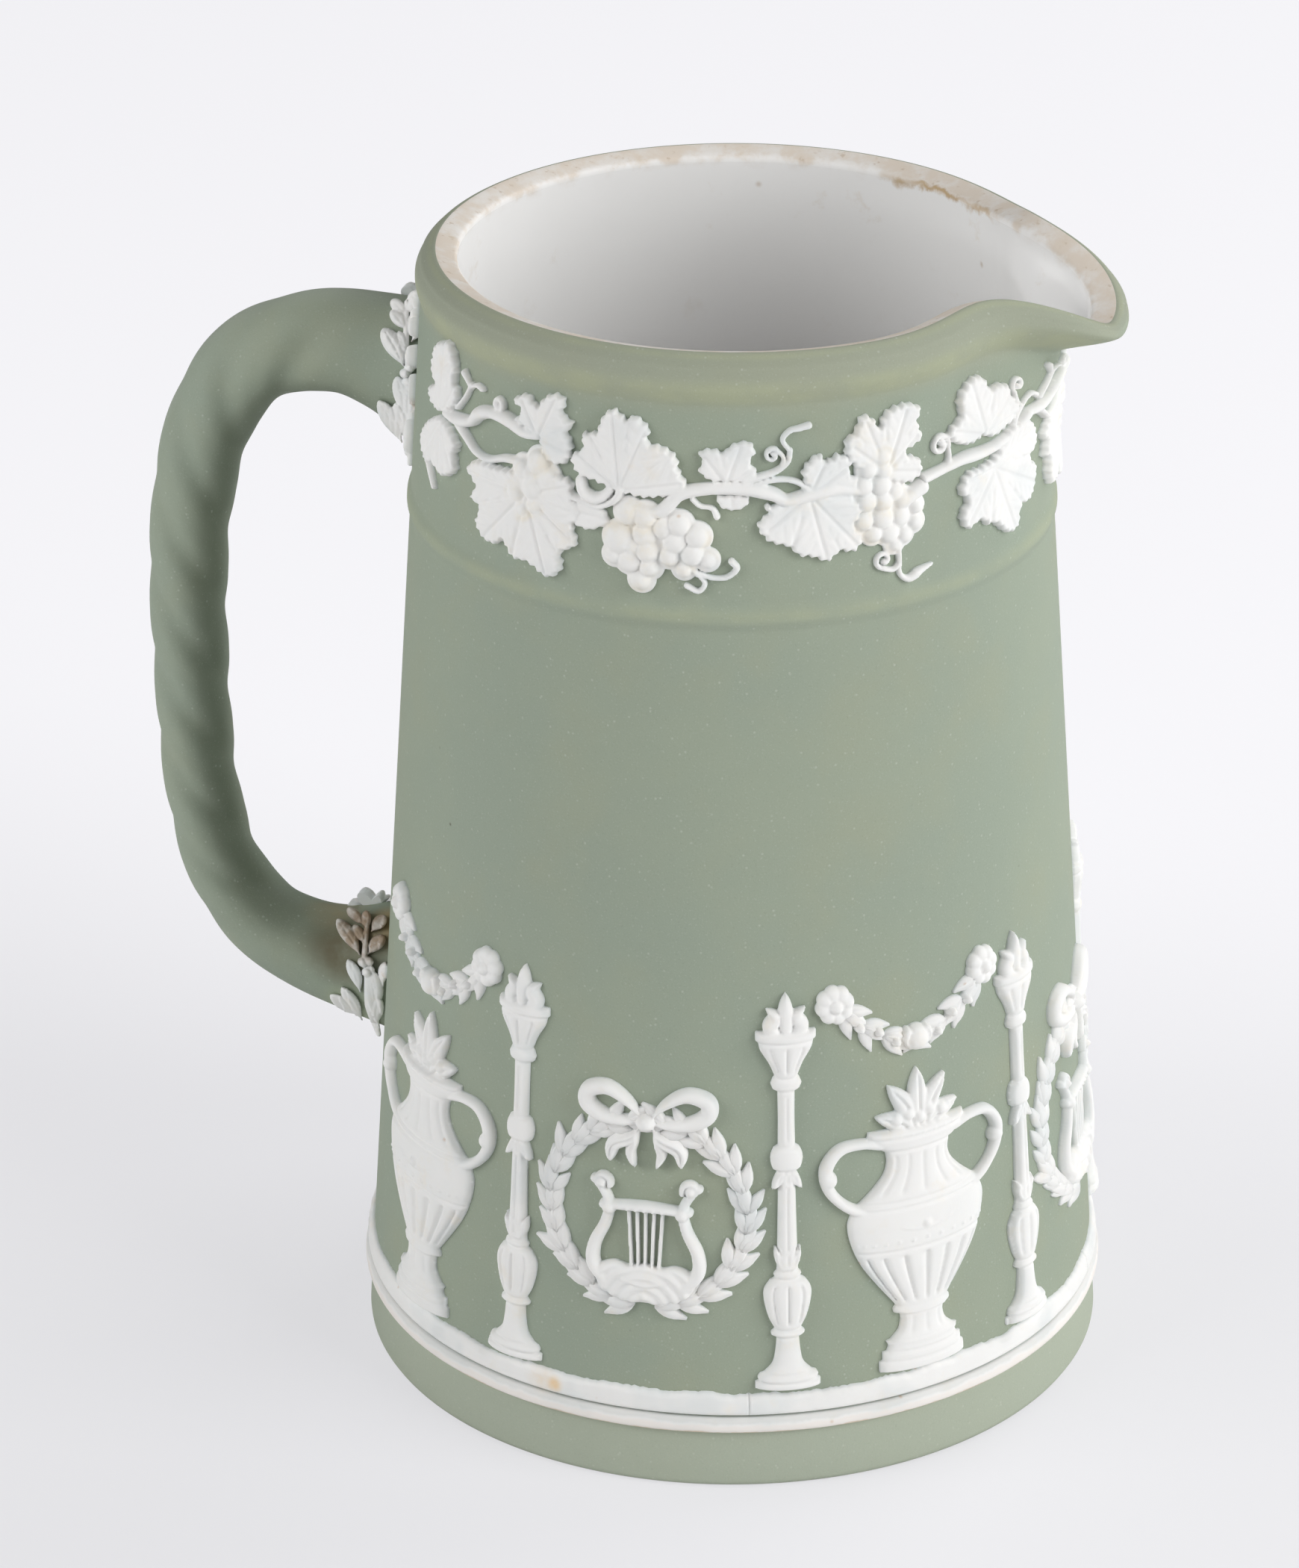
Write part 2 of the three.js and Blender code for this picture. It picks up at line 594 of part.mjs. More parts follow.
function turnedRelief(profile, flatness, sides) {
  const geometry = new THREE.LatheGeometry(profile.map(([r, h]) => new THREE.Vector2(r, h)), sides);
  geometry.rotateX(Math.PI / 2);
  return geometry.scale(1, flatness, 1);
}

// Leaves spread upward from one foot, as one solid with a notch between tips
function leafFan(foot, count, length, spread) {
  const outline = [[0, foot]];
  for (let i = 0; i < 2 * count + 1; i += 1) {
    const angle = Math.PI / 2 + spread * (1 - i / count) * FAN_WIDENING;
    const reach = i % 2 === 0 ? length * 0.45 : length;
    outline.push([reach * Math.cos(angle), foot + reach * Math.sin(angle)]);
  }
  return cutOut(outline.reverse(), LEAF_RELIEF);
}

function urn() {
  const profile = [
    [0, 0], [0.6, 0], [0.6, 0.1], [0.5, 0.13], [0.32, 0.19], [0.32, 0.26], [0.62, 0.36], [0.95, 0.52],
    [1, 0.64], [0.72, 0.76], [0.46, 0.84], [0.5, 0.92], [0.7, 0.98], [0.7, 1], [0, 1],
  ];
  const scaled = profile.map(([r, h]) => [r * URN_RADIUS, h * URN_HEIGHT]);
  const leaves = leafFan(URN_HEIGHT - FAN_SINK, 5, URN_LEAF_LENGTH, 1);
  const pieces = [turnedRelief(scaled, URN_FLATNESS, 8), leaves];
  for (const side of [-1, 1]) {
    const grip = [[0.6, 0.64], [1.3, 0.8], [1.22, 0.95], [0.42, 0.95]];
    pieces.push(stem(grip.map(([x, z]) => [side * x * URN_RADIUS, z * URN_HEIGHT]), URN_GRIP_RADIUS));
  }
  return pieces;
}

function candelabrum() {
  const profile = [
    [0, 0], [1, 0], [1, 0.03], [0.42, 0.08], [0.34, 0.15], [0.66, 0.22], [0.74, 0.28], [0.32, 0.34],
    [0.26, 0.62], [0.5, 0.66], [0.26, 0.7], [0.26, 0.84], [0.5, 0.88], [0.9, 0.96], [0.9, 1], [0, 1],
  ];
  const scaled = profile.map(([r, h]) => [r * CANDELABRUM_RADIUS, h * CANDELABRUM_HEIGHT]);
  const flame = leafFan(CANDELABRUM_HEIGHT - FAN_SINK, 3, FLAME_LENGTH, FLAME_SPREAD);
  return [turnedRelief(scaled, CANDELABRUM_FLATNESS, 8), flame];
}

// A band of overlapping leaves along a line: its edges go in and out like leaf tips
function leafBand(points, steps, narrow, wide, closedLoop = false) {
  const nodes = points.map(([x, z]) => new THREE.Vector3(x, 0, z));
  const curve = new THREE.CatmullRomCurve3(nodes, closedLoop);
  const count = closedLoop ? steps : steps + 1;
  const sections = [];
  for (let i = 0; i < count; i += 1) {
    const centre = curve.getPointAt(i / steps);
    const along = curve.getTangentAt(i / steps);
    const reach = i % 2 === 0 ? narrow : wide;
    const place = (across, depth) => [centre.x + along.z * across, depth, centre.z - along.x * across];
    sections.push([
      place(-reach, -RELIEF_EDGE), place(0, -LEAF_RELIEF), place(reach, -RELIEF_EDGE), place(0, SINK),
    ]);
  }
  return lofted(sections, closedLoop);
}

// A flat cut-out with its outline drawn in x and z, rising to a height from the wall
function cutOut(outline, relief, hole) {
  const shape = new THREE.Shape(outline.map(([x, z]) => new THREE.Vector2(x, z)));
  if (hole) shape.holes.push(new THREE.Path(hole.map(([x, z]) => new THREE.Vector2(x, z))));
  const geometry = new THREE.ExtrudeGeometry(shape, { depth: relief + SINK, bevelEnabled: false });
  return geometry.rotateX(Math.PI / 2).translate(0, SINK, 0);
}

const mirrored = (half) => [...half, ...[...half].reverse().map(([x, z]) => [-x, z])];

// The lyre stands on the wreath's lower leaves: a round sound box, two arms that curl
// outward at their tips, and a crossbar. Its outline goes up the right half
function lyreWreath() {
  const ring = [];
  for (let i = 0; i < 12; i += 1) {
    const turn = (2 * Math.PI * i) / 12;
    ring.push([WREATH_RADIUS * Math.cos(turn), WREATH_CENTRE + WREATH_RADIUS * Math.sin(turn)]);
  }
  const wreath = leafBand(ring, WREATH_TEETH * 2, WREATH_WIDTH * 0.3, WREATH_WIDTH / 2, true);
  const low = WREATH_CENTRE - WREATH_RADIUS;
  const high = WREATH_CENTRE + WREATH_RADIUS;
  const sized = (points) => points.map(([x, z]) => [x * LYRE_HALF_WIDTH, low + z * LYRE_HEIGHT]);
  const outside = sized([
    [0.42, 0], [0.84, 0.14], [0.98, 0.34], [0.9, 0.54], [0.68, 0.74], [0.66, 0.86], [0.92, 0.98],
    [0.82, 1.08], [0.5, 1.02], [0.42, 0.93],
  ]);
  const inside = sized([[0.3, 0.3], [0.66, 0.38], [0.6, 0.54], [0.4, 0.72], [0.38, 0.82]]);
  const lyre = cutOut(mirrored(outside).reverse(), LEAF_RELIEF, mirrored(inside));
  const bow = [
    [0.1, -0.16], [0.13, 0.07], [0.67, 0.51], [1, 0.33], [0.83, 0], [0.28, 0], [0.47, -0.67], [0.22, -0.67],
  ];
  const ribbon = mirrored(bow.reverse()).map(([x, z]) => [x * BOW_HALF_WIDTH, high + z * BOW_HALF_WIDTH]);
  return [wreath, lyre, cutOut(ribbon, LEAF_RELIEF * 0.9)];
}

function laurelSwag() {
  const urnLeafTips = URN_HEIGHT - FAN_SINK + URN_LEAF_LENGTH;
  const top = urnLeafTips + SWAG_ABOVE_URN + SWAG_WIDTH / 2 + SWAG_SAG;
  const height = (x) => top - SWAG_SAG * (1 - (x / swagHalfSpan) ** 2);
  const line = [];
  for (let i = -4; i <= 4; i += 1) line.push([(swagHalfSpan * i) / 4, height((swagHalfSpan * i) / 4)]);
  const pieces = [leafBand(line, SWAG_TEETH * 2, SWAG_WIDTH * 0.3, SWAG_WIDTH / 2)];
  for (const side of [-1, 1]) {
    const rosette = [[0, -SINK], [1, -SINK], [1, 0.6], [0.5, 1.2], [0, 1.6]];
    const outline = rosette.map(([r, h]) => new THREE.Vector2(r * ROSETTE_RADIUS, h));
    const boss = new THREE.LatheGeometry(outline, 8);
    pieces.push(boss.rotateX(Math.PI).translate(side * swagHalfSpan, 0, top));
  }
  return pieces;
}

function friezeMotif(name, pieces, angle) {
  const solids = pieces.map((geometry) => onWall(geometry.translate(0, 0, friezeFoot), angle, friezeGauge));
  return meshOf(name, joined(solids).subtract(seat), white());
}

function frieze() {
  const meshes = [];
  const middle = (FRIEZE_SLOTS - 1) / 2;
  for (let slot = 0; slot < FRIEZE_SLOTS; slot += 1) {
    const angle = (slot - middle) * SLOT_ANGLE;
    if (slot % 2 === middle % 2) {
      meshes.push(friezeMotif(`lyre_wreath_${slot + 1}`, lyreWreath(), angle));
    } else {
      meshes.push(friezeMotif(`urn_${slot + 1}`, urn(), angle));
      meshes.push(friezeMotif(`laurel_swag_${slot + 1}`, laurelSwag(), angle));
    }
    if (slot < FRIEZE_SLOTS - 1) {
      meshes.push(friezeMotif(`candelabrum_${slot + 1}`, candelabrum(), angle + SLOT_ANGLE / 2));
    }
  }
  return meshes;
}

// Leaf sprays at the handle's joints lie on the sides of its spread ends

// A stem with pairs of leaves, drawn upright from its foot, which falls if the rise is negative
function sprayDrawing(x, z, rise) {
  const middle = [x + 0.06 * SPRAY_LEAF_LENGTH, z + rise / 2];
  const pieces = [stem([[x, z], middle, [x - 0.06 * SPRAY_LEAF_LENGTH, z + rise]], SPRAY_STEM_RADIUS)];
  const pairs = Math.max(1, Math.round(Math.abs(rise) / SPRAY_PAIR_SPACING));
  for (let pair = 0; pair < pairs; pair += 1) {
    const at = z + (rise * (pair + 0.3)) / pairs;
    for (const lean of [-0.55, 0.75]) {
      pieces.push(lensLeaf(x, at, Math.PI / 2 - lean, SPRAY_LEAF_LENGTH, SPRAY_LEAF_WIDTH));
    }
  }
  return pieces;
}

// How far the handle or the wall reaches sideways at a distance from the axis and a height
function sideReach(reach, height) {
  const samples = 80;
  const spacing = handlePath.getLength() / samples;
  const wall = Math.sqrt(Math.max(0, wallRadius(height) ** 2 - reach ** 2));
  let side = Math.max(wall, SPRAY_LEAST_SIDE);
  for (let i = 0; i <= samples; i += 1) {
    const share = i / samples;
    const centre = handlePath.getPointAt(share);
    const along = handlePath.getTangentAt(share);
    const offset = new THREE.Vector3(-reach, 0, height).sub(centre);
    const inwards = offset.dot(new THREE.Vector3(0, -1, 0).cross(along).normalize());
    const { inner, outer, wide } = handleHalfSizes(share);
    if (Math.abs(offset.dot(along)) < spacing && inwards < inner && inwards > -outer) {
      // the turn round the section at which it reaches this far inwards
      const [middle, lean] = [(inner + outer) / 2, (inner - outer) / 2];
      const turn = (2 * inwards) / (middle + Math.sqrt(Math.max(0, middle ** 2 + 4 * lean * inwards)));
      side = Math.max(side, wide * Math.sqrt(Math.max(0, 1 - turn ** 2)));
    }
  }
  return side;
}

// Bends a flat drawing, x away from the jug's axis and z up, onto one side of the joint
function onSide(geometry, side) {
  const flat = geometry.index ? geometry : mergeVertices(geometry);
  const position = flat.attributes.position;
  for (let i = 0; i < position.count; i += 1) {
    const [reach, depth, height] = [position.getX(i), position.getY(i), position.getZ(i)];
    position.setXYZ(i, -reach, side * (sideReach(reach, height) - depth), height);
  }
  if (side < 0) flat.setIndex(Array.from(flat.index.array).reverse());
  return solidOf(flat);
}

const handleSeat = handleSolid(SEAT_GAP);

function jointSpray(name, side, reach, height, rise) {
  const solids = sprayDrawing(reach, height, rise).map((geometry) => onSide(geometry, side));
  return meshOf(name, joined(solids).subtract(seat).subtract(handleSeat), white());
}

function handleSprays() {
  const topJoint = JUG_HEIGHT - HANDLE_TOP_BELOW_RIM;
  const topReach = wallRadius(topJoint) + TOP_SPRAY_OUT;
  const topTie = topJoint + TOP_TIE_ABOVE_JOINT;
  const lowReach = wallRadius(HANDLE_FOOT_HEIGHT) + LOW_SPRAY_OUT;
  const lowTie = HANDLE_FOOT_HEIGHT - LOW_TIE_BELOW_JOINT;
  return [['right', -1], ['left', 1]].flatMap(([word, side]) => [
    jointSpray(`top_rising_${word}_spray`, side, topReach, topTie + SPRAY_TIE_GAP, TOP_SPRAY_RISE),
    jointSpray(`top_falling_${word}_spray`, side, topReach, topTie - TOP_SPRAY_DROP, -TOP_SPRAY_FALL),
    jointSpray(`low_rising_${word}_spray`, side, lowReach, lowTie + SPRAY_TIE_GAP, LOW_SPRAY_RISE),
    jointSpray(`low_falling_${word}_spray`, side, lowReach, lowTie - LOW_SPRAY_DROP, -LOW_SPRAY_FALL),
  ]);
}

const group = new THREE.Group();
group.add(jugBody());
group.add(handle());
group.add(baseBand());
for (let i = 0; i < GROUND_STRIPS; i += 1) group.add(groundStrip(i));
group.add(...handleSprays());
group.add(...vines());
group.add(...frieze());

export default group;
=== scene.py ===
# %% [markdown]
# # A sage green stoneware jug with white relief
#
# The jug on the table is one thrown pot: a body that tapers upward, with a spout that was
# pulled out of the wet wall. A roped handle is stuck to its back, and white press-moulded
# ornaments are stuck round it. This lesson dresses the measured model of that jug in
# Blender. Each piece is built where the real one sits, in metres, with the spout along +X.
#
# The frame comes first. It holds the measured solids, which tell us where everything goes.

# %% Load the measured model
import bpy
import math
import numpy as np
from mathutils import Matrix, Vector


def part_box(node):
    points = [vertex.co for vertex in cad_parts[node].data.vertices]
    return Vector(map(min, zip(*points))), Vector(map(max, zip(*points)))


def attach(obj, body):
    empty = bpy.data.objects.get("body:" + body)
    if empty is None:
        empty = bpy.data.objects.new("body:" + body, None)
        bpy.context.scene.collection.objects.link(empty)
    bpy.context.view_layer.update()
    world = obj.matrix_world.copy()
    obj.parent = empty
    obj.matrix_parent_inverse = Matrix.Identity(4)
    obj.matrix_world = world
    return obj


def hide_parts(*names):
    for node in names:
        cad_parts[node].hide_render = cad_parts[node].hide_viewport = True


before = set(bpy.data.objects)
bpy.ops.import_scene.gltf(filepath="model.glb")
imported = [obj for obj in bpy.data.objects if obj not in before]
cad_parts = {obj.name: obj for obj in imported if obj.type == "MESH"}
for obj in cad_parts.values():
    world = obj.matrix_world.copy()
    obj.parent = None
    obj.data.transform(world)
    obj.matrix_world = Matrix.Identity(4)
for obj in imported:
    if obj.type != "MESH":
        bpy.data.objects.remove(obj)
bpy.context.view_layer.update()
MM = 0.001
print("nodes in the frame:", len(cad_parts))

# %% [markdown]
# A few steps come back all through this lesson: putting an object into the scene, adding a
# node, mapping a value, mixing two colours and keeping a number with each point of a mesh.
# Each gets a small function, so that the cells below can be read without them.

# %% Small helpers


def new_object(name, data):
    """Puts an object with its data at the origin of the scene."""
    thing = bpy.data.objects.new(name, data)
    bpy.context.scene.collection.objects.link(thing)
    return thing


def keep_on_points(mesh, name, values):
    """Stores one number for each point, where a material can read it."""
    mesh.attributes.new(name, "FLOAT", "POINT").data.foreach_set("value", np.asarray(values, np.float32))


def add(tree, kind, inputs=(), **settings):
    """A new node with its settings; each input then gets a value or a link from a socket."""
    node = tree.nodes.new(kind)
    for setting, value in settings.items():
        setattr(node, setting, value)
    for name, value in dict(inputs).items():
        if isinstance(value, bpy.types.NodeSocket):
            tree.links.new(value, node.inputs[name])
        elif value is not None:
            node.inputs[name].default_value = value
    return node


def ramp(tree, value, low, high, start=0.0, end=1.0):
    """Maps low..high to start..end, smoothly and clamped."""
    inputs = {"From Min": low, "From Max": high, "To Min": start, "To Max": end, "Value": value}
    return add(tree, "ShaderNodeMapRange", inputs, interpolation_type="SMOOTHSTEP").outputs["Result"]


def blend(tree, share, first, second):
    """A colour between two, each a socket or an RGB."""
    first, second = ((*colour, 1.0) if isinstance(colour, tuple) else colour for colour in (first, second))
    return add(tree, "ShaderNodeMix", {0: share, 6: first, 7: second}, data_type="RGBA").outputs[2]

# %% [markdown]
# ## Camera, floor and light
#
# The photographer stood a little above the jug and used a long lens, so the picture is
# almost flat and the verticals hardly converge. We could place the camera by eye, but the
# outlines of the foot and the rim fix it exactly: 25.65 degrees above the table and 832 mm
# away. The jug stands right of the middle of the picture, which a small shift of the lens
# gives without turning the camera.

# %% Camera at the photograph's angle
PHOTO_LONG_SIDE = 2100
PHOTO_AXIS_OFFSET = 110.8
CAMERA_TURN = math.radians(-74.5)
CAMERA_ELEVATION = math.radians(25.65)
CAMERA_DISTANCE = 0.8319
CAMERA_TARGET = (0.0, 0.0, 0.0835)
CAMERA_LENS = 134.66

camera_data = bpy.data.cameras.new("camera")
camera = new_object("camera", camera_data)
camera_data.lens = CAMERA_LENS
camera_data.sensor_width = 36.0
camera_data.shift_x = -PHOTO_AXIS_OFFSET / PHOTO_LONG_SIDE
camera_data.clip_start = 0.01
flat_distance = CAMERA_DISTANCE * math.cos(CAMERA_ELEVATION)
camera.location = (
    CAMERA_TARGET[0] + flat_distance * math.cos(CAMERA_TURN),
    CAMERA_TARGET[1] + flat_distance * math.sin(CAMERA_TURN),
    CAMERA_TARGET[2] + CAMERA_DISTANCE * math.sin(CAMERA_ELEVATION),
)
camera.rotation_euler = (math.pi / 2 - CAMERA_ELEVATION, 0.0, CAMERA_TURN + math.pi / 2)
bpy.context.scene.camera = camera
print("camera at", [round(v, 3) for v in camera.location])

# %% [markdown]
# The backdrop of the photograph is nearly white, and a little greyer close to the jug. If
# the lamps made it white, they would bleach the jug too. So the floor throws an honest
# amount of light on the jug and shows the camera a paler face: a faint shade of its own
# plus a glow that grows towards the back. Light Path's Is Camera Ray makes that split. The
# floor still darkens where the jug shades it.

# %% World and floor
SKY_COLOUR = (0.905, 0.905, 0.925, 1.0)
SKY_LIGHT = 0.04
FLOOR_COLOUR = (0.87, 0.87, 0.88, 1.0)
FLOOR_SEEN = (0.30, 0.30, 0.30, 1.0)
FLOOR_GLOW_NEAR = (0.574, 0.571, 0.594)
FLOOR_GLOW_FAR = (0.688, 0.684, 0.712)
FLOOR_GLOW_START, FLOOR_GLOW_END = -0.02, 0.18
FLOOR_HALF = 3.0


def shader_tree(owner):
    owner.use_nodes = True
    owner.node_tree.nodes.clear()
    return owner.node_tree


def lit_and_seen(tree, lit, seen, output):
    """Lights the scene with one shader and shows the camera another."""
    ray = add(tree, "ShaderNodeLightPath").outputs["Is Camera Ray"]
    mix = add(tree, "ShaderNodeMixShader", {0: ray, 1: lit.outputs[0], 2: seen.outputs[0]})
    add(tree, output, {"Surface": mix.outputs[0]})


world = bpy.data.worlds.new("studio")
bpy.context.scene.world = world
tree = shader_tree(world)
seen = add(tree, "ShaderNodeBackground", {"Color": SKY_COLOUR})
lit = add(tree, "ShaderNodeBackground", {"Color": (1.0, 1.0, 1.0, 1.0), "Strength": SKY_LIGHT})
lit_and_seen(tree, lit, seen, "ShaderNodeOutputWorld")

floor_mesh = bpy.data.meshes.new("floor")
corners = [(x * FLOOR_HALF, y * FLOOR_HALF, 0) for x, y in ((-1, -1), (1, -1), (1, 1), (-1, 1))]
floor_mesh.from_pydata(corners, [], [(0, 1, 2, 3)])
floor = new_object("floor", floor_mesh)
floor_finish = bpy.data.materials.new("pale_floor")
tree = shader_tree(floor_finish)
cloth = add(tree, "ShaderNodeBsdfDiffuse", {"Color": FLOOR_COLOUR})
seen_cloth = add(tree, "ShaderNodeBsdfDiffuse", {"Color": FLOOR_SEEN})
place = add(tree, "ShaderNodeTexCoord").outputs["Object"]
back = add(tree, "ShaderNodeSeparateXYZ", {0: place}).outputs["Y"]
depth = ramp(tree, back, FLOOR_GLOW_START, FLOOR_GLOW_END)
shades = blend(tree, depth, FLOOR_GLOW_NEAR, FLOOR_GLOW_FAR)
glow = add(tree, "ShaderNodeEmission", {"Color": shades, "Strength": 1.0})
both = add(tree, "ShaderNodeAddShader", {0: seen_cloth.outputs[0], 1: glow.outputs[0]})
lit_and_seen(tree, cloth, both, "ShaderNodeOutputMaterial")
floor_mesh.materials.append(floor_finish)

# %% [markdown]
# Two wide soft sources stand left and right of the camera, and none beside it. The right
# one is the stronger, so the right flank is the paler one. The body keeps it off the
# handle, whose inner side therefore falls into deep shade and shows the rope; the green
# finish adds painted shade on that side. Weaker sources behind the jug light its back
# and the white glaze inside.

# %% Lamps
LAMP_DISTANCE, LAMP_SIZE, LAMP_AIM = 1.6, 1.2, 0.08
# turn and elevation in degrees, and power in watts
LAMPS = {
    "right_front": (-15, 25, 21.1), "left_front": (-135, 25, 13.6),
    "right_back": (55, 37, 11.5), "left_back": (185, 25, 3.5),
}

for name, (turn, elevation, power) in LAMPS.items():
    data = bpy.data.lights.new(name, "AREA")
    data.shape, data.size, data.energy = "SQUARE", LAMP_SIZE, power
    turn, elevation = math.radians(turn), math.radians(elevation)
    flat = LAMP_DISTANCE * math.cos(elevation)
    height = LAMP_AIM + LAMP_DISTANCE * math.sin(elevation)
    lamp = new_object(name, data)
    lamp.location = (flat * math.cos(turn), flat * math.sin(turn), height)
    lamp.rotation_euler = (math.pi / 2 - elevation, 0.0, turn + math.pi / 2)
bpy.context.scene.view_settings.view_transform = "Standard"

# %% [markdown]
# ## The wall everything sits on
#
# Every ornament follows the body's wall, so the wall is written first, as a formula. Below
# the neck it is a plain cone. Towards the rim the wall follows the spout: a beak that
# reaches out 11.7 mm, dips 6 mm at its lip and rises 2 mm at its two shoulders. With a
# formula, one number moves the wall and everything that is stuck to it.

# %% The wall as a formula, in millimetres
JUG_HEIGHT = 165.0
BASE_RADIUS = 53.4
WALL_TAPER = 0.0691
SPOUT_START = 140.0
SPOUT_REACH = 11.7
SPOUT_HALF_ANGLE = 0.29
SPOUT_SHARPNESS = 2.84
SPOUT_DROP = 5.93
SPOUT_DROP_ANGLE = 0.23
SHOULDER_ANGLE = 0.34
SHOULDER_REACH = 1.06
SHOULDER_SPREAD = 0.8
SHOULDER_RISE = 2.1
SHOULDER_RISE_SPREAD = 0.24


def wall_radius(height):
    return BASE_RADIUS - WALL_TAPER * height


def bell(value, middle, spread, power=2.0):
    return np.exp(-np.abs((value - middle) / spread) ** power)


def smooth_step(value, low, high):
    share = np.clip((value - low) / (high - low), 0.0, 1.0)
    return share * share * (3.0 - 2.0 * share)


def on_body(angle, radius, height):
    """Points of the jug in metres, from an angle, and a radius and height in millimetres."""
    angle, radius, height = np.broadcast_arrays(angle, radius, height)
    turn = np.abs(np.arctan2(np.sin(angle), np.cos(angle)))
    out = SPOUT_REACH * bell(turn, 0, SPOUT_HALF_ANGLE, SPOUT_SHARPNESS)
    out = out + SHOULDER_REACH * bell(turn, SHOULDER_ANGLE, SHOULDER_SPREAD)
    up = SHOULDER_RISE * bell(turn, SHOULDER_ANGLE, SHOULDER_RISE_SPREAD)
    up = up - SPOUT_DROP * bell(turn, 0, SPOUT_DROP_ANGLE)
    climb = np.clip((height - SPOUT_START) / (JUG_HEIGHT - SPOUT_START), 0.0, None)
    follow = 0.45 * climb ** 1.4 + 0.55 * smooth_step(climb, 0.7, 0.9)
    r = radius + out * follow
    z = height + up * climb ** 1.7
    return np.stack([r * np.cos(angle), r * np.sin(angle), z], axis=-1) * MM


# %% Turning points and faces into a piece


def make_piece(name, points, faces, finish):
    """A mesh object at the origin, with its place in its mesh."""
    mesh = bpy.data.meshes.new(name)
    mesh.from_pydata([tuple(p) for p in np.asarray(points).tolist()], [], faces)
    mesh.validate()
    mesh.materials.append(finish)
    mesh.shade_smooth()
    return new_object(name, mesh)


def settle(piece, slot, *nodes):
    """The piece rides on the jug and stands for its nodes, which it hides; slot is not used."""
    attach(piece, "root")
    if nodes:
        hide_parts(*nodes)
    print(piece.name, len(piece.data.polygons), "faces")


# %% [markdown]
# ## Finishes
#
# The clay is not glazed outside. It is a dense, dry stoneware with a fine grain: pale
# grains sparkle in it, a few pinholes are dark, and the green is patchy by a shade or two.
# A flat colour would look like plastic. Noise in Object coordinates gives the patches and
# the grain, and the cells of a Voronoi pattern place the specks and the pinholes. The grain
# also drives a very low bump. Each finish is a stack of layers, from the clay's own colour
# up to its stains.

# %% Node helpers


def maths(tree, operation, first, second=0.0):
    return add(tree, "ShaderNodeMath", {0: first, 1: second}, operation=operation).outputs[0]


def times(tree, first, second):
    return maths(tree, "MULTIPLY", first, second)


def plus(tree, first, second):
    return maths(tree, "ADD", first, second)


def minus(tree, first, second):
    return maths(tree, "SUBTRACT", first, second)


def split(tree, vector):
    """The outputs X, Y and Z of a vector."""
    return add(tree, "ShaderNodeSeparateXYZ", {0: vector}).outputs


def noise(tree, place, scale, detail=4.0, rough=0.55):
    inputs = {"Scale": scale, "Detail": detail, "Roughness": rough, "Vector": place}
    return add(tree, "ShaderNodeTexNoise", inputs).outputs["Fac"]


def carried(tree, name):
    """A number that the mesh keeps with each point."""
    return add(tree, "ShaderNodeAttribute", attribute_name=name).outputs["Fac"]


def near(tree, place, centre, full, none):
    """1 within one distance of a point in millimetres, falling to 0 at another."""
    inputs = {0: place, 1: tuple(v * MM for v in centre)}
    away = add(tree, "ShaderNodeVectorMath", inputs, operation="DISTANCE").outputs["Value"]
    return ramp(tree, away, full * MM, none * MM, 1.0, 0.0)


def scattered(tree, place, scale, share, radius):
    """Round spots at random places: a share of the cells of a pattern holds one each."""
    cells = add(tree, "ShaderNodeTexVoronoi", {"Scale": scale, "Vector": place})
    pick = add(tree, "ShaderNodeSeparateColor", {0: cells.outputs["Color"]})
    chosen = ramp(tree, pick.outputs[1], 1 - share, 1 - 0.8 * share)
    return times(tree, chosen, ramp(tree, cells.outputs["Distance"], 0.0, radius, 1.0, 0.0))


def stains(tree, place, places, cloud):
    """A layer for each stain: a soft round place, broken up by a cloud of noise."""
    return [(times(tree, times(tree, near(tree, place, centre, full, none), strength), cloud), shade)
            for centre, full, none, strength, shade in places]


def layered(tree, colour, *layers):
    """Lays colours over one another; each layer is a share and a colour."""
    for share, shade in layers:
        colour = blend(tree, share, colour, shade)
    return colour


def clay(name, roughness, specular):
    """A material with a Principled shader, its tree and its Object coordinates."""
    material = bpy.data.materials.new(name)
    tree = shader_tree(material)
    shader = add(tree, "ShaderNodeBsdfPrincipled", {"Roughness": roughness, "Specular IOR Level": specular})
    add(tree, "ShaderNodeOutputMaterial", {"Surface": shader.outputs[0]})
    return material, tree, shader, add(tree, "ShaderNodeTexCoord").outputs["Object"]


def painted(tree, shader, colour, relief, strength, distance):
    """Gives a shader its colour and a bump."""
    bump = add(tree, "ShaderNodeBump", {"Strength": strength, "Distance": distance, "Height": relief})
    tree.links.new(colour, shader.inputs["Base Color"])
    tree.links.new(bump.outputs["Normal"], shader.inputs["Normal"])


# %% Green stoneware
GREEN = (0.330, 0.377, 0.292)
GREEN_WARM = (0.347, 0.376, 0.275)
GREEN_OLIVE = (0.352, 0.370, 0.284)
GREEN_COOL = (0.314, 0.366, 0.292)
GREEN_FOOT_PAINTED_LIGHT = (0.420, 0.462, 0.372)
EDGE_YELLOW_WEAR_AND_HIGHLIGHT = (0.43, 0.46, 0.30)
PALE_GRAIN = (0.56, 0.60, 0.52)
DARK_PIT = (0.07, 0.06, 0.035)
TEA_STAIN_AND_SHADE = (0.125, 0.105, 0.055)
TEA_TAN = (0.40, 0.30, 0.16)
PAINTED_SHADE_GREEN = (0.19, 0.22, 0.165)
PAINTED_LIGHT_GREEN = (0.45, 0.49, 0.43)

DARK_GRAIN = (0.17, 0.20, 0.14)
TEA_GREEN = (0.43, 0.47, 0.27)

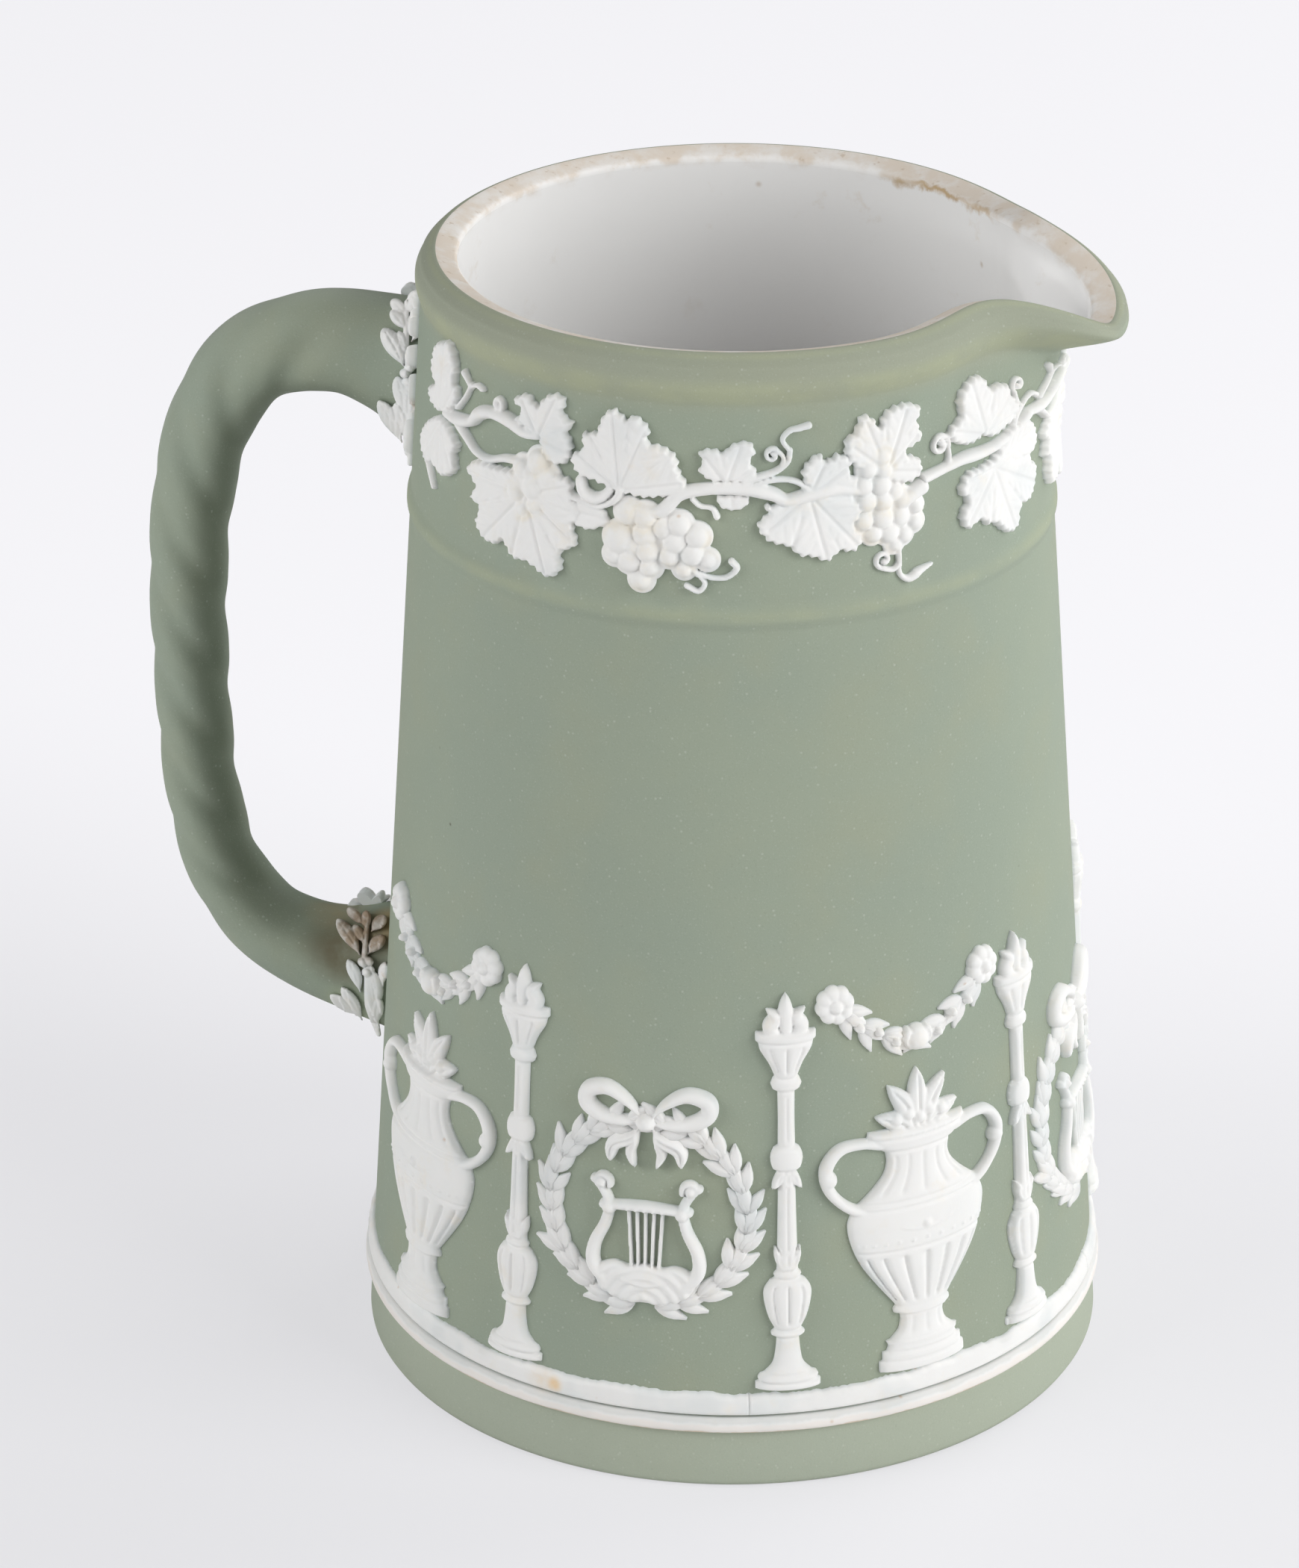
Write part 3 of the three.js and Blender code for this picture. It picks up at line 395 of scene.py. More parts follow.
# centre in millimetres, radius of the full stain, radius where it ends, strength and colour
TEA_PLACES = [
    # the first, darkest place on the handle's lower end is partly a tea stain and partly painted shade of the
    # handle's dark side
    ((-56.5, -8.5, 54.0), 3.0, 9.5, 0.92, TEA_STAIN_AND_SHADE), ((-51.0, -5.0, 58.0), 2.0, 6.5, 0.85, TEA_TAN),
    ((-60.0, 0.0, 56.5), 1.5, 6.0, 0.5, TEA_TAN), ((-49.9, -12.4, 49.5), 0.5, 2.6, 0.7, TEA_TAN),
    ((-57.0, -6.5, 42.0), 1.0, 6.0, 0.45, TEA_GREEN),
]


def green_stoneware():
    material, tree, shader, place = clay("green_stoneware", 0.66, 0.30)
    height, grip = split(tree, place)["Z"], carried(tree, "grip")
    patches = ramp(tree, noise(tree, place, 32.0, 3.0), 0.36, 0.66)
    worn_and_lit_edge = ramp(tree, carried(tree, "edge"), 0.1, 0.95, 0.0, 0.62)
    edge_breakup = ramp(tree, noise(tree, place, 150.0), 0.30, 0.62, 0.35, 1.0)
    grain = noise(tree, place, 3400.0, 2.0, 0.7)
    cloud = ramp(tree, noise(tree, place, 160.0, 4.0, 0.6), 0.30, 0.62, 0.55, 1.0)
    colour = layered(
        tree, blend(tree, patches, GREEN_COOL, GREEN),
        (ramp(tree, noise(tree, place, 70.0), 0.46, 0.74, 0.0, 0.5), GREEN_WARM),
        # painted light: the wall is paler below 9 mm, for light thrown up by the floor
        (ramp(tree, height, 0.0084, 0.0094, 0.85, 0.0), GREEN_FOOT_PAINTED_LIGHT),
        (ramp(tree, height, 0.1560, 0.1600, 0.0, 0.7), GREEN_OLIVE),
        # the neck ring, the rim band's roll and the rim's outer edge turn yellower: partly wear where the
        # green is thin on the ridges, partly a painted highlight where they catch the light
        (times(tree, worn_and_lit_edge, edge_breakup), EDGE_YELLOW_WEAR_AND_HIGHLIGHT),
        # painted shade: the handle's side facing the body is darkened, most where grip nears 1
        (ramp(tree, grip, 0.45, 1.0, 0.0, 0.34), PAINTED_SHADE_GREEN),
        (ramp(tree, grip, 0.80, 1.0, 0.0, 0.46), PAINTED_SHADE_GREEN),
        # painted light: the handle's side away from the body, where grip nears -1, is paled like a lit edge
        (ramp(tree, grip, -0.90, -0.35, 0.4, 0.0), PAINTED_LIGHT_GREEN),
        # painted shade in the rope's grooves
        (times(tree, carried(tree, "valley"), 0.16), PAINTED_SHADE_GREEN),
        (ramp(tree, grain, 0.58, 0.80, 0.0, 0.34), PALE_GRAIN),
        (ramp(tree, grain, 0.20, 0.42, 0.22, 0.0), DARK_GRAIN),
        (times(tree, scattered(tree, place, 1300.0, 0.12, 0.34), 0.5), PALE_GRAIN),
        (times(tree, scattered(tree, place, 330.0, 0.012, 0.12), 0.8), DARK_PIT),
        *stains(tree, place, TEA_PLACES, cloud),
    )
    relief = plus(tree, grain, times(tree, noise(tree, place, 700.0), 0.5))
    painted(tree, shader, colour, relief, 0.25, 0.00012)
    return material


# %% [markdown]
# The white clay is laid on thin. Where it is thinnest the green shows through and turns it
# bluish, and in the hollows it is creamy. Each ornament carries an attribute named `lift`,
# its height over the wall in millimetres, and the white reads its shade from that. The
# grapes carry `tint` as well, for the brown that has settled between them. Tea has stained
# the sprays at the lower joint, and a few rusty spots sit where sprigs were joined.

# %% White relief clay
WHITE = (0.88, 0.875, 0.86)
WHITE_THIN = (0.66, 0.71, 0.72)
WHITE_CREAM = (0.86, 0.80, 0.69)
WHITE_STAINED = (0.84, 0.75, 0.57)
BAND_PINK = (0.87, 0.80, 0.745)
BAND_TAN = (0.62, 0.49, 0.34)
BAND_PAINTED_SHADE = (0.66, 0.665, 0.64)
RUST = (0.52, 0.30, 0.13)
ORANGE = (0.84, 0.58, 0.28)
JOINT_BROWN = (0.31, 0.215, 0.13)
STAINED_PLACES = [
    ((-53.0, -5.5, 58.5), 5.0, 8.6, 0.9, JOINT_BROWN), ((-50.6, -11.5, 51.0), 0.4, 2.6, 0.7, RUST),
    ((-42.7, -10.5, 144.9), 0.3, 1.4, 0.85, RUST), ((-42.3, -11.6, 141.5), 0.3, 2.0, 0.5, RUST),
    ((-11.3, -52.1, 13.1), 0.1, 1.7, 0.8, ORANGE), ((-13.5, -51.6, 13.4), 0.1, 3.0, 0.3, ORANGE),
]


def white_relief():
    material, tree, shader, place = clay("white_relief", 0.55, 0.32)
    lift, height = carried(tree, "lift"), split(tree, place)["Z"]
    veil = ramp(tree, noise(tree, place, 75.0, 3.0), 0.46, 0.66, 0.0, 0.42)
    cloud = noise(tree, place, 190.0, 5.0, 0.6)
    uneven = plus(tree, height, ramp(tree, cloud, 0.35, 0.65, -0.0002, 0.0002))
    # painted shade: the upper, hollow part of the moulding is greyed
    upper = times(tree, ramp(tree, uneven, 0.0103, 0.0108), ramp(tree, height, 0.0115, 0.0116, 1.0, 0.0))
    streaks = ramp(tree, noise(tree, place, 420.0, 4.0, 0.6), 0.34, 0.6, 0.5, 1.0)
    colour = layered(
        tree, blend(tree, ramp(tree, lift, 0.10, 0.60, 0.5, 0.0), WHITE, WHITE_THIN),
        (times(tree, veil, ramp(tree, lift, 1.0, 1.6, 1.0, 0.2)), WHITE_THIN),
        (ramp(tree, cloud, 0.54, 0.76, 0.0, 0.45), WHITE_CREAM),
        (times(tree, carried(tree, "tint"), ramp(tree, cloud, 0.44, 0.64, 0.1, 0.9)), WHITE_STAINED),
        (ramp(tree, uneven, 0.0100, 0.0106, 0.55, 0.0), BAND_PINK),
        (times(tree, upper, 0.5), BAND_PAINTED_SHADE),
        (ramp(tree, uneven, 0.0091, 0.0094, 0.7, 0.0), BAND_TAN),
        (times(tree, scattered(tree, place, 430.0, 0.012, 0.2), 0.5), RUST),
        *stains(tree, place, STAINED_PLACES, streaks),
    )
    grain = plus(tree, noise(tree, place, 1500.0, 2.0), noise(tree, place, 420.0, 3.0))
    painted(tree, shader, colour, grain, 0.16, 0.00012)
    shader.inputs["Subsurface Weight"].default_value = 0.1
    shader.inputs["Subsurface Radius"].default_value = (0.0009, 0.0008, 0.0007)
    return material


# %% [markdown]
# The rim's face is bare pinkish clay, and the glaze begins a few millimetres inside it. The
# body's mesh carries `past_rim`, the way in millimetres from the rim's outer edge down the
# inside. Glaze, clay and the brown line between them are painted by it, so they follow the
# rim round the spout.

# %% Bare rim and white glaze inside
RIM_BISCUIT = (0.74, 0.66, 0.57)
RIM_PALE = (0.80, 0.765, 0.72)
RIM_BROWN = (0.42, 0.29, 0.16)
GLAZE = (0.915, 0.91, 0.90)
GLAZE_STAIN = (0.62, 0.50, 0.34)
SEAM_BROWN = (0.50, 0.34, 0.16)
DEEP_SHADE = (0.34, 0.32, 0.28)


def rim_and_inside(name, roughness, specular):
    material, tree, shader, place = clay(name, roughness, specular)
    past = carried(tree, "past_rim")
    mottle = noise(tree, place, 210.0, 5.0, 0.62)
    freckles = ramp(tree, noise(tree, place, 620.0, 4.0, 0.6), 0.60, 0.72, 0.0, 0.45)
    glaze_edge = plus(tree, past, ramp(tree, mottle, 0.3, 0.7, -0.8, 0.8))
    seam = times(tree, ramp(tree, glaze_edge, 2.9, 3.7), ramp(tree, glaze_edge, 3.8, 4.9, 1.0, 0.0))
    patchy = ramp(tree, noise(tree, place, 46.0, 4.0, 0.6), 0.50, 0.64, 0.06, 0.9)
    runs = ramp(tree, noise(tree, place, 130.0, 5.0, 0.7), 0.60, 0.76, 0.0, 0.30)
    colour = layered(
        tree, blend(tree, ramp(tree, mottle, 0.40, 0.66), RIM_BISCUIT, RIM_PALE),
        (freckles, RIM_BROWN),
        (ramp(tree, glaze_edge, 2.6, 4.2), GLAZE),
        (times(tree, seam, patchy), SEAM_BROWN),
        (times(tree, runs, ramp(tree, past, 6.0, 30.0, 1.0, 0.25)), GLAZE_STAIN),
        (times(tree, scattered(tree, place, 240.0, 0.10, 0.17), 0.5), RIM_BROWN),
        (ramp(tree, split(tree, place)["Z"], 0.095, 0.133, 0.7, 0.0), DEEP_SHADE),
    )
    grain = plus(tree, noise(tree, place, 90.0, 3.0), times(tree, noise(tree, place, 900.0), 0.2))
    painted(tree, shader, colour, grain, 0.10, 0.0004)
    return material


green = green_stoneware()
white = white_relief()
rim_clay = rim_and_inside("bare_rim", 0.6, 0.3)
glaze = rim_and_inside("white_glaze", 0.26, 0.5)
print("finishes:", green.name, white.name, rim_clay.name, glaze.name)

# %% [markdown]
# ## The body
#
# A potter would turn this profile on a wheel, and a Screw or Spin would turn it in Blender.
# The spout rules that out, because it makes the wall differ round the jug. So the profile is
# a list of radius and height, each angle gets its own copy through the wall's formula, and
# neighbouring copies are joined by faces. The profile goes from the middle of the underside
# up the outside, over the bare rim and down the glazed inside. Three finishes share the
# mesh: green outside, biscuit on the rim's face and glaze inside.

# %% Profile of the body
RIM_BAND_WIDTH = 6.4
RIM_BAND_ROLL = 0.9
RIM_EDGE_INSET = 1.4
RIM_FACE_WIDTH = 3.2
RIM_FACE_DROP = 1.2
NECK_RING_HEIGHT = 129.0
NECK_RING_RELIEF = 0.5
WALL_THICKNESS = 3.9
INNER_LEAN_DEPTH = 40.0
FLOOR_THICKNESS = 6.0
FLOOR_FILLET = 7.0
BODY_FACETS = 400


def smooth_line(points, steps):
    """A Catmull-Rom curve through points, with steps pieces to each stretch."""
    points = np.array(points, float)
    ends = np.vstack([2 * points[0] - points[1], points, 2 * points[-1] - points[-2]])
    share = np.linspace(0, 1, steps, endpoint=False)[:, None]
    line = []
    for a, b, c, d in zip(ends, ends[1:], ends[2:], ends[3:]):
        line.append(0.5 * (2 * b + (c - a) * share + (2 * a - 5 * b + 4 * c - d) * share ** 2
                           + (3 * b - a - 3 * c + d) * share ** 3))
    return np.vstack(line + [points[-1:]])


def outside_wall():
    """Radius and height from the foot's edge to the rim's edge."""
    edge = JUG_HEIGHT - RIM_BAND_WIDTH
    heights = np.concatenate([
        np.linspace(1.2, 126.5, 44), np.linspace(126.9, 131.4, 19), np.linspace(132, edge - 1.6, 24),
        np.linspace(edge - 1.4, JUG_HEIGHT - 1.4, 26),
    ])
    ring = NECK_RING_RELIEF * smooth_step(np.abs(heights - NECK_RING_HEIGHT), 2.2, 0.3)
    band = np.clip((heights - edge + 0.5) / 3.2, 0, 1)
    roll = RIM_BAND_ROLL * np.sin(band * math.pi / 2) ** 1.3
    tuck = 0.75 * smooth_step(heights, JUG_HEIGHT - 3.4, JUG_HEIGHT - 0.9)
    return np.stack([wall_radius(heights) + ring + roll - tuck, heights], axis=1)


def body_profile():
    foot = [(0, 0), (20, 0), (40, 0), (51.0, 0), (52.3, 0.05), (53.0, 0.3), (53.28, 0.75)]
    rim_radius = wall_radius(JUG_HEIGHT) - RIM_EDGE_INSET
    outside = outside_wall()
    top = smooth_line([outside[-1], (rim_radius + 0.75, JUG_HEIGHT - 0.45), (rim_radius, JUG_HEIGHT)], 4)[1:]
    inner_edge = rim_radius - RIM_FACE_WIDTH
    face = smooth_line([(rim_radius - 0.3, JUG_HEIGHT + 0.02), (inner_edge + 0.5, JUG_HEIGHT - 0.75),
                        (inner_edge, JUG_HEIGHT - RIM_FACE_DROP)], 4)
    heights = np.concatenate([np.linspace(JUG_HEIGHT - 1.7, SPOUT_START, 34), np.linspace(136, 14, 30)])
    inner = wall_radius(heights) - WALL_THICKNESS
    lean = wall_radius(heights[0]) - WALL_THICKNESS - inner_edge
    inner = inner - lean * smooth_step(heights, JUG_HEIGHT - INNER_LEAN_DEPTH, JUG_HEIGHT - 1.7)
    inside = np.stack([inner, heights], axis=1)
    turns = np.linspace(0.12, math.pi / 2, 7)
    bottom = inside[-1][0] - FLOOR_FILLET
    fillet = np.stack([bottom + FLOOR_FILLET * np.cos(turns),
                       FLOOR_THICKNESS + FLOOR_FILLET * (1 - np.sin(turns))], axis=1)
    floor_line = np.array([(28.0, FLOOR_THICKNESS), (14.0, FLOOR_THICKNESS), (0.0, FLOOR_THICKNESS)])
    outer = np.vstack([foot, outside, top])
    inner_part = np.vstack([inside, fillet, floor_line])
    profile = np.vstack([outer, face, inner_part])
    return profile, len(outer), len(outer) + len(face)


# %% Turning the profile


def turned_faces(rings, facets):
    """Faces between rings of points, closed at a pole at both ends."""
    index = 1 + np.arange(rings * facets).reshape(rings, facets)
    following = np.roll(index, -1, axis=1)
    quads = np.stack([index[:-1], following[:-1], following[1:], index[1:]], axis=-1).reshape(-1, 4)
    last = 1 + rings * facets
    start = [(0, int(b), int(a)) for a, b in zip(index[0], following[0])]
    end = [(int(a), int(b), last) for a, b in zip(index[-1], following[-1])]
    return start + [tuple(q) for q in quads.tolist()] + end, len(start)


profile, rim_start, glaze_start = body_profile()
angles = np.linspace(-math.pi, math.pi, BODY_FACETS, endpoint=False)
rings = [on_body(angles, radius, height) for radius, height in profile[1:-1]]
points = np.vstack([[[0, 0, 0]], *rings, [[0, 0, FLOOR_THICKNESS * MM]]])
faces, first_quads = turned_faces(len(rings), BODY_FACETS)
body = make_piece("jug_body_clay", points, faces, green)
body.data.materials.append(rim_clay)
body.data.materials.append(glaze)
finish_of = np.zeros(len(body.data.polygons), np.int32)
finish_of[first_quads + (rim_start - 1) * BODY_FACETS:] = 1
finish_of[first_quads + (glaze_start - 1) * BODY_FACETS:] = 2
body.data.polygons.foreach_set("material_index", finish_of)
way_along = np.concatenate([[0], np.cumsum(np.hypot(*np.diff(profile, axis=0).T))])
past_rim = way_along - way_along[rim_start - 1]
# edge marks the neck ring, the rim band's roll and the rim's outer edge, which the green finish paints
# yellower: partly wear, partly painted highlight
neck_edge = bell(profile[:, 1], NECK_RING_HEIGHT + 0.3, 1.3)
band_edge = bell(profile[:, 1], JUG_HEIGHT - RIM_BAND_WIDTH + 1.5, 1.9)
edge = np.where(past_rim < 0, np.maximum(0.6 * neck_edge, band_edge), 0)
edge = np.maximum(edge, 0.6 * bell(past_rim, -0.6, 0.7))
for name, values in (("past_rim", past_rim), ("edge", edge)):
    keep_on_points(body.data, name, np.concatenate([
        values[:1], np.repeat(values[1:-1], BODY_FACETS), values[-1:]]))
settle(body, "green_stoneware", "jug_body")

# %% [markdown]
# ## Relief from a press mould
#
# A potter pressed white clay into a carved mould, lifted out the thin sprig and stuck it to
# the wall with slip. A sprig is a height map: a flat drawing in which each point has one
# height. Sculpting it by hand would hide its sizes, and a Displace modifier on a fine grid
# would leave a whole sheet of clay. So we carve moulds in code. A mould is a grid of cells
# 0.2 mm wide that keeps two numbers: how far a point lies inside the outline, and how high
# the clay stands there. Strands, balls and leaves are pressed in, and the highest clay wins.

# %% A mould and the clay that is pressed into it
CLAY_EDGE = 0.35
CELL = 0.2


class Mould:
    """Clay over a flat grid in millimetres: x runs along the wall and z runs up."""

    def __init__(self, left, right, low, high, cell=CELL):
        self.cell = cell
        self.x = np.arange(left, right + cell / 2, cell)
        self.z = np.arange(low, high + cell / 2, cell)
        self.inside = np.full((len(self.z), len(self.x)), -4.0)
        self.lift = np.zeros_like(self.inside)
        self.tint = np.zeros_like(self.inside)

    def window(self, points, margin):
        """The part of the grid round some points."""
        low, high = np.min(points, axis=0) - margin, np.max(points, axis=0) + margin
        columns = slice(*np.searchsorted(self.x, (low[0], high[0])))
        rows = slice(*np.searchsorted(self.z, (low[1], high[1])))
        return (rows, columns), *np.meshgrid(self.x[columns], self.z[rows])

    def press(self, where, inside, height):
        self.inside[where] = np.maximum(self.inside[where], inside)
        kept = self.lift[where]
        self.lift[where] = np.where(inside > 0, np.maximum(kept, height), kept)

    def stain(self, where, amount):
        self.tint[where] = np.maximum(self.tint[where], amount)

    def trim(self, inside):
        """Cuts the clay back to where a value is above zero, as a knife does."""
        self.inside = np.minimum(self.inside, inside)


def rounded(inside, width):
    """0 at the outline, rising in a quarter round to 1 at a width inside it."""
    share = np.clip(inside / width, 0, 1)
    return np.sqrt(1 - (1 - share) ** 2)


def nearest_on(gx, gz, line, reach):
    """For each point: how far inside a strand it lies, the strand's radius there and the
    distance from its middle line."""
    inside, radius, away = (np.full(gx.shape, value) for value in (-4.0, 1.0, 9.0))
    for (ax, az), (bx, bz), first, last in zip(line, line[1:], reach, reach[1:]):
        dx, dz = bx - ax, bz - az
        share = np.clip(((gx - ax) * dx + (gz - az) * dz) / (dx * dx + dz * dz + 1e-9), 0, 1)
        distance = np.hypot(gx - ax - share * dx, gz - az - share * dz)
        here = first + (last - first) * share
        better = here - distance > inside
        inside = np.where(better, here - distance, inside)
        radius = np.where(better, here, radius)
        away = np.where(better, distance, away)
    return inside, radius, away


def strand(mould, points, widths, top, steps=6):
    """A half-round strand along a smooth line; its widths are spread along its length."""
    line = smooth_line(points, steps)
    along = np.linspace(0, 1, len(line))
    reach = np.interp(along, np.linspace(0, 1, len(widths)), widths) / 2
    where, gx, gz = mould.window(line, reach.max() + 0.6)
    inside, radius, away = nearest_on(gx, gz, line, reach)
    dome = np.sqrt(np.clip(radius ** 2 - away ** 2, 0, None)) / reach.max()
    mould.press(where, inside, CLAY_EDGE + (top - CLAY_EDGE) * dome)


def blade(mould, points, width, top, crease=0.4, broadest=0.45):
    """A pointed leaf along a line, with a crease for its midrib."""
    line = smooth_line(points, 7)
    along = np.linspace(0, 1, len(line))
    bulge = np.sin(math.pi * along ** (math.log(0.5) / math.log(broadest))) ** 0.75
    reach = np.maximum(bulge * width / 2, 0.12)
    where, gx, gz = mould.window(line, width / 2 + 0.6)
    inside, radius, away = nearest_on(gx, gz, line, reach)
    dome = np.sqrt(np.clip(1 - (away / radius) ** 2, 0, None))
    rib = 1 - crease * np.exp(-(away / 0.24) ** 2) * smooth_step(radius, 0.3, 0.8)
    thick = smooth_step(radius, 0.0, width * 0.35) * 0.5 + 0.5
    mould.press(where, inside, CLAY_EDGE + (top - CLAY_EDGE) * dome * rib * thick)


def ball(mould, x, z, radius, top, flat=1.0):
    """A domed button of clay, such as a grape; flat below 1 squashes it from above."""
    where, gx, gz = mould.window([(x, z)], radius + 0.6)
    away = np.hypot(gx - x, (gz - z) / flat)
    dome = np.sqrt(np.clip(1 - (away / radius) ** 2, 0, None))
    mould.press(where, radius - away, CLAY_EDGE + (top - CLAY_EDGE) * dome)


def outline_distance(gx, gz, outline):
    """How far inside a closed outline a point lies, and how far along it is the nearest part."""
    best, run = np.full(gx.shape, 1e9), np.zeros(gx.shape)
    odd = np.zeros(gx.shape, bool)
    passed = 0.0
    for (ax, az), (bx, bz) in zip(outline, np.roll(outline, -1, axis=0)):
        dx, dz = bx - ax, bz - az
        length = math.hypot(dx, dz) + 1e-9
        share = np.clip(((gx - ax) * dx + (gz - az) * dz) / length ** 2, 0, 1)
        away = np.hypot(gx - ax - share * dx, gz - az - share * dz)
        run = np.where(away < best, passed + share * length, run)
        best = np.minimum(best, away)
        if az != bz:
            odd ^= ((az > gz) != (bz > gz)) & (gx < dx * (gz - az) / dz + ax)
        passed += length
    return np.where(odd, best, -best), run, passed


def smooth_outline(points, steps=5):
    return smooth_line([*points, points[0]], steps)[:-1]


# %% [markdown]
# The mould becomes a mesh by marching squares. Each cell of the grid has four corners, which
# makes sixteen cases of clay and no clay, and each case has its own polygon. Where the
# outline crosses a side of the cell, a point is put at the crossing, so outlines come out
# smooth and not in steps. The points are then bent round the wall by the wall's formula. A
# second layer half a millimetre inside the wall closes the sprig from behind.

# %% Casting the mould as a closed mesh
# a, b, c and d are a cell's corners from the lower left, going round; ab is the crossing
# between a and b. Each case lists the clay's polygon anticlockwise.
CELL_CASES = {
    1: "a ab da", 2: "b bc ab", 3: "a b bc da", 4: "c cd bc", 5: "a ab bc c cd da",
    6: "b c cd ab", 7: "a b c cd da", 8: "d da cd", 9: "a ab cd d", 10: "b bc cd d da ab",
    11: "a b bc cd d", 12: "c d da bc", 13: "a ab bc c d", 14: "b c d da ab", 15: "a b c d",
}
SPRIG_BACK = -0.5


def numbered(mask, start):
    """Numbers the true cells of a mask from start, and says where they are."""
    index = np.full(mask.shape, -1, np.int64)
    index[mask] = start + np.arange(mask.sum())
    return index, np.argwhere(mask)


def crossing(first, second):
    return np.clip(first / (first - second), 0.06, 0.94)


def cast(mould, name, place, finish):
    """Turns a mould's clay into a piece; place maps x, z and height to metres."""
    inside, clay_at = mould.inside, mould.inside > 0
    corner, corners = numbered(clay_at, 0)
    flat, flats = numbered(clay_at[:, 1:] != clay_at[:, :-1], len(corners))
    steep, steeps = numbered(clay_at[1:] != clay_at[:-1], len(corners) + len(flats))
    r, c = corners.T
    plan = [np.stack([mould.x[c], mould.z[r], mould.lift[r, c]], axis=1)]
    r, c = flats.T
    x = mould.x[c] + mould.cell * crossing(inside[r, c], inside[r, c + 1])
    plan.append(np.stack([x, mould.z[r], np.full(len(r), CLAY_EDGE)], axis=1))
    r, c = steeps.T
    z = mould.z[r] + mould.cell * crossing(inside[r, c], inside[r + 1, c])
    plan.append(np.stack([mould.x[c], z, np.full(len(r), CLAY_EDGE)], axis=1))
    plan = np.vstack(plan)
    parts = {
        "a": corner[:-1, :-1], "b": corner[:-1, 1:], "c": corner[1:, 1:], "d": corner[1:, :-1],
        "ab": flat[:-1], "bc": steep[:, 1:], "cd": flat[1:], "da": steep[:, :-1],
    }
    case = sum(clay_at[rows, columns] * bit for bit, rows, columns in (
        (1, slice(None, -1), slice(None, -1)), (2, slice(None, -1), slice(1, None)),
        (4, slice(1, None), slice(1, None)), (8, slice(1, None), slice(None, -1))))
    faces, count = [], len(plan)
    for number, polygon in CELL_CASES.items():
        cells = case == number
        if not cells.any():
            continue
        words = polygon.split()
        loop = np.stack([parts[word][cells] for word in words], axis=1)
        faces += loop.tolist() + (loop[:, ::-1] + count).tolist()
        for k, (word, following) in enumerate(zip(words, words[1:] + words[:1])):
            if len(word) == 2 and len(following) == 2:
                p, q = loop[:, k], loop[:, (k + 1) % len(words)]
                faces += np.stack([q, p, p + count, q + count], axis=1).tolist()
    x, z, lift = np.vstack([plan, plan * [1, 1, 0]]).T
    lift[count:] = SPRIG_BACK
    piece = make_piece(name, place(x, z, lift), faces, finish)
    row = np.clip(np.rint((z - mould.z[0]) / mould.cell).astype(int), 0, len(mould.z) - 1)
    column = np.clip(np.rint((x - mould.x[0]) / mould.cell).astype(int), 0, len(mould.x) - 1)
    keep_on_points(piece.data, "lift", lift)
    keep_on_points(piece.data, "tint", mould.tint[row, column])
    return piece


def round_the_wall(centre, foot, gauge):
    """Bends a drawing round the jug: its x = 0 at an angle, its z = 0 at a height."""
    def place(x, z, lift):
        height = foot + z
        return on_body(centre + x / gauge, wall_radius(height) + lift, height)
    return place


# %% [markdown]
# ## The vine border
#
# Three lengths of one vine go round under the rim. The first lacks its start and the last
# lacks its end, because the handle is in the way. The leaves are flat, with saw-toothed
# lobes and shallow grooves for veins, so each leaf is an outline with veins, and a wave along
# the outline cuts the teeth. Stems are half-round strands, and tendrils are strands that
# taper and curl. The grapes are small domes that overlap.

# %% Leaves with lobes, teeth and veins
TOOTH_PITCH = 1.3
TOOTH_DEPTH = 0.5
LEAF_TOP = 1.35
SIDE_VEIN_PITCH = 1.5


def line_distance(gx, gz, start, end):
    """Distance across a straight vein, and the distance along it from its start."""
    dx, dz = end[0] - start[0], end[1] - start[1]
    length = math.hypot(dx, dz)
    along = ((gx - start[0]) * dx + (gz - start[1]) * dz) / length
    rest = np.clip(along, 0, length)
    return np.hypot(gx - start[0] - rest * dx / length, gz - start[1] - rest * dz / length), along


def vine_leaf(mould, foot, outline, tips, top=LEAF_TOP, teeth=1.0):
    """A lobed leaf: a toothed outline, and a vein from its foot into each lobe."""
    where, gx, gz = mould.window(outline, 1.2)
    inside, run, length = outline_distance(gx, gz, smooth_outline(outline))
    pitch = length / max(6, round(length / TOOTH_PITCH))
    step = run / pitch
    uneven = 0.72 + 0.28 * np.sin(2.4 * np.floor(step) + 1.3) * np.cos(1.1 * np.floor(step))
    saw = 1 - np.abs(2 * (step % 1) ** 1.5 - 1)
    inside = inside + teeth * TOOTH_DEPTH * uneven * (saw - 0.55)
    veins = [line_distance(gx, gz, foot, tip) for tip in tips]
    across = np.array([distance for distance, _ in veins])
    order = np.sort(across, axis=0)
    nearest = np.argmin(across, axis=0)
    along = np.take_along_axis(np.array([a for _, a in veins]), nearest[None], axis=0)[0]
    vein = np.exp(-(order[0] / 0.24) ** 2)
    side = 0.5 + 0.5 * np.cos(2 * math.pi * (along - 0.75 * order[0]) / SIDE_VEIN_PITCH)
    side = side * smooth_step(order[0], 0.3, 1.0) * smooth_step(inside, 0.1, 0.9)
    fold = np.zeros(gx.shape)
    if len(tips) > 1:
        fold = np.exp(-((order[1] - order[0]) / 0.55) ** 2) * smooth_step(order[0], 0.8, 2.0)
    swell = 0.84 + 0.16 * smooth_step(order[0], 0.3, 2.6)
    carved = 1 - 0.30 * vein - 0.09 * side ** 3 - 0.24 * fold
    mould.press(where, inside, CLAY_EDGE + rounded(inside, 0.6) * (top - CLAY_EDGE) * swell * carved)


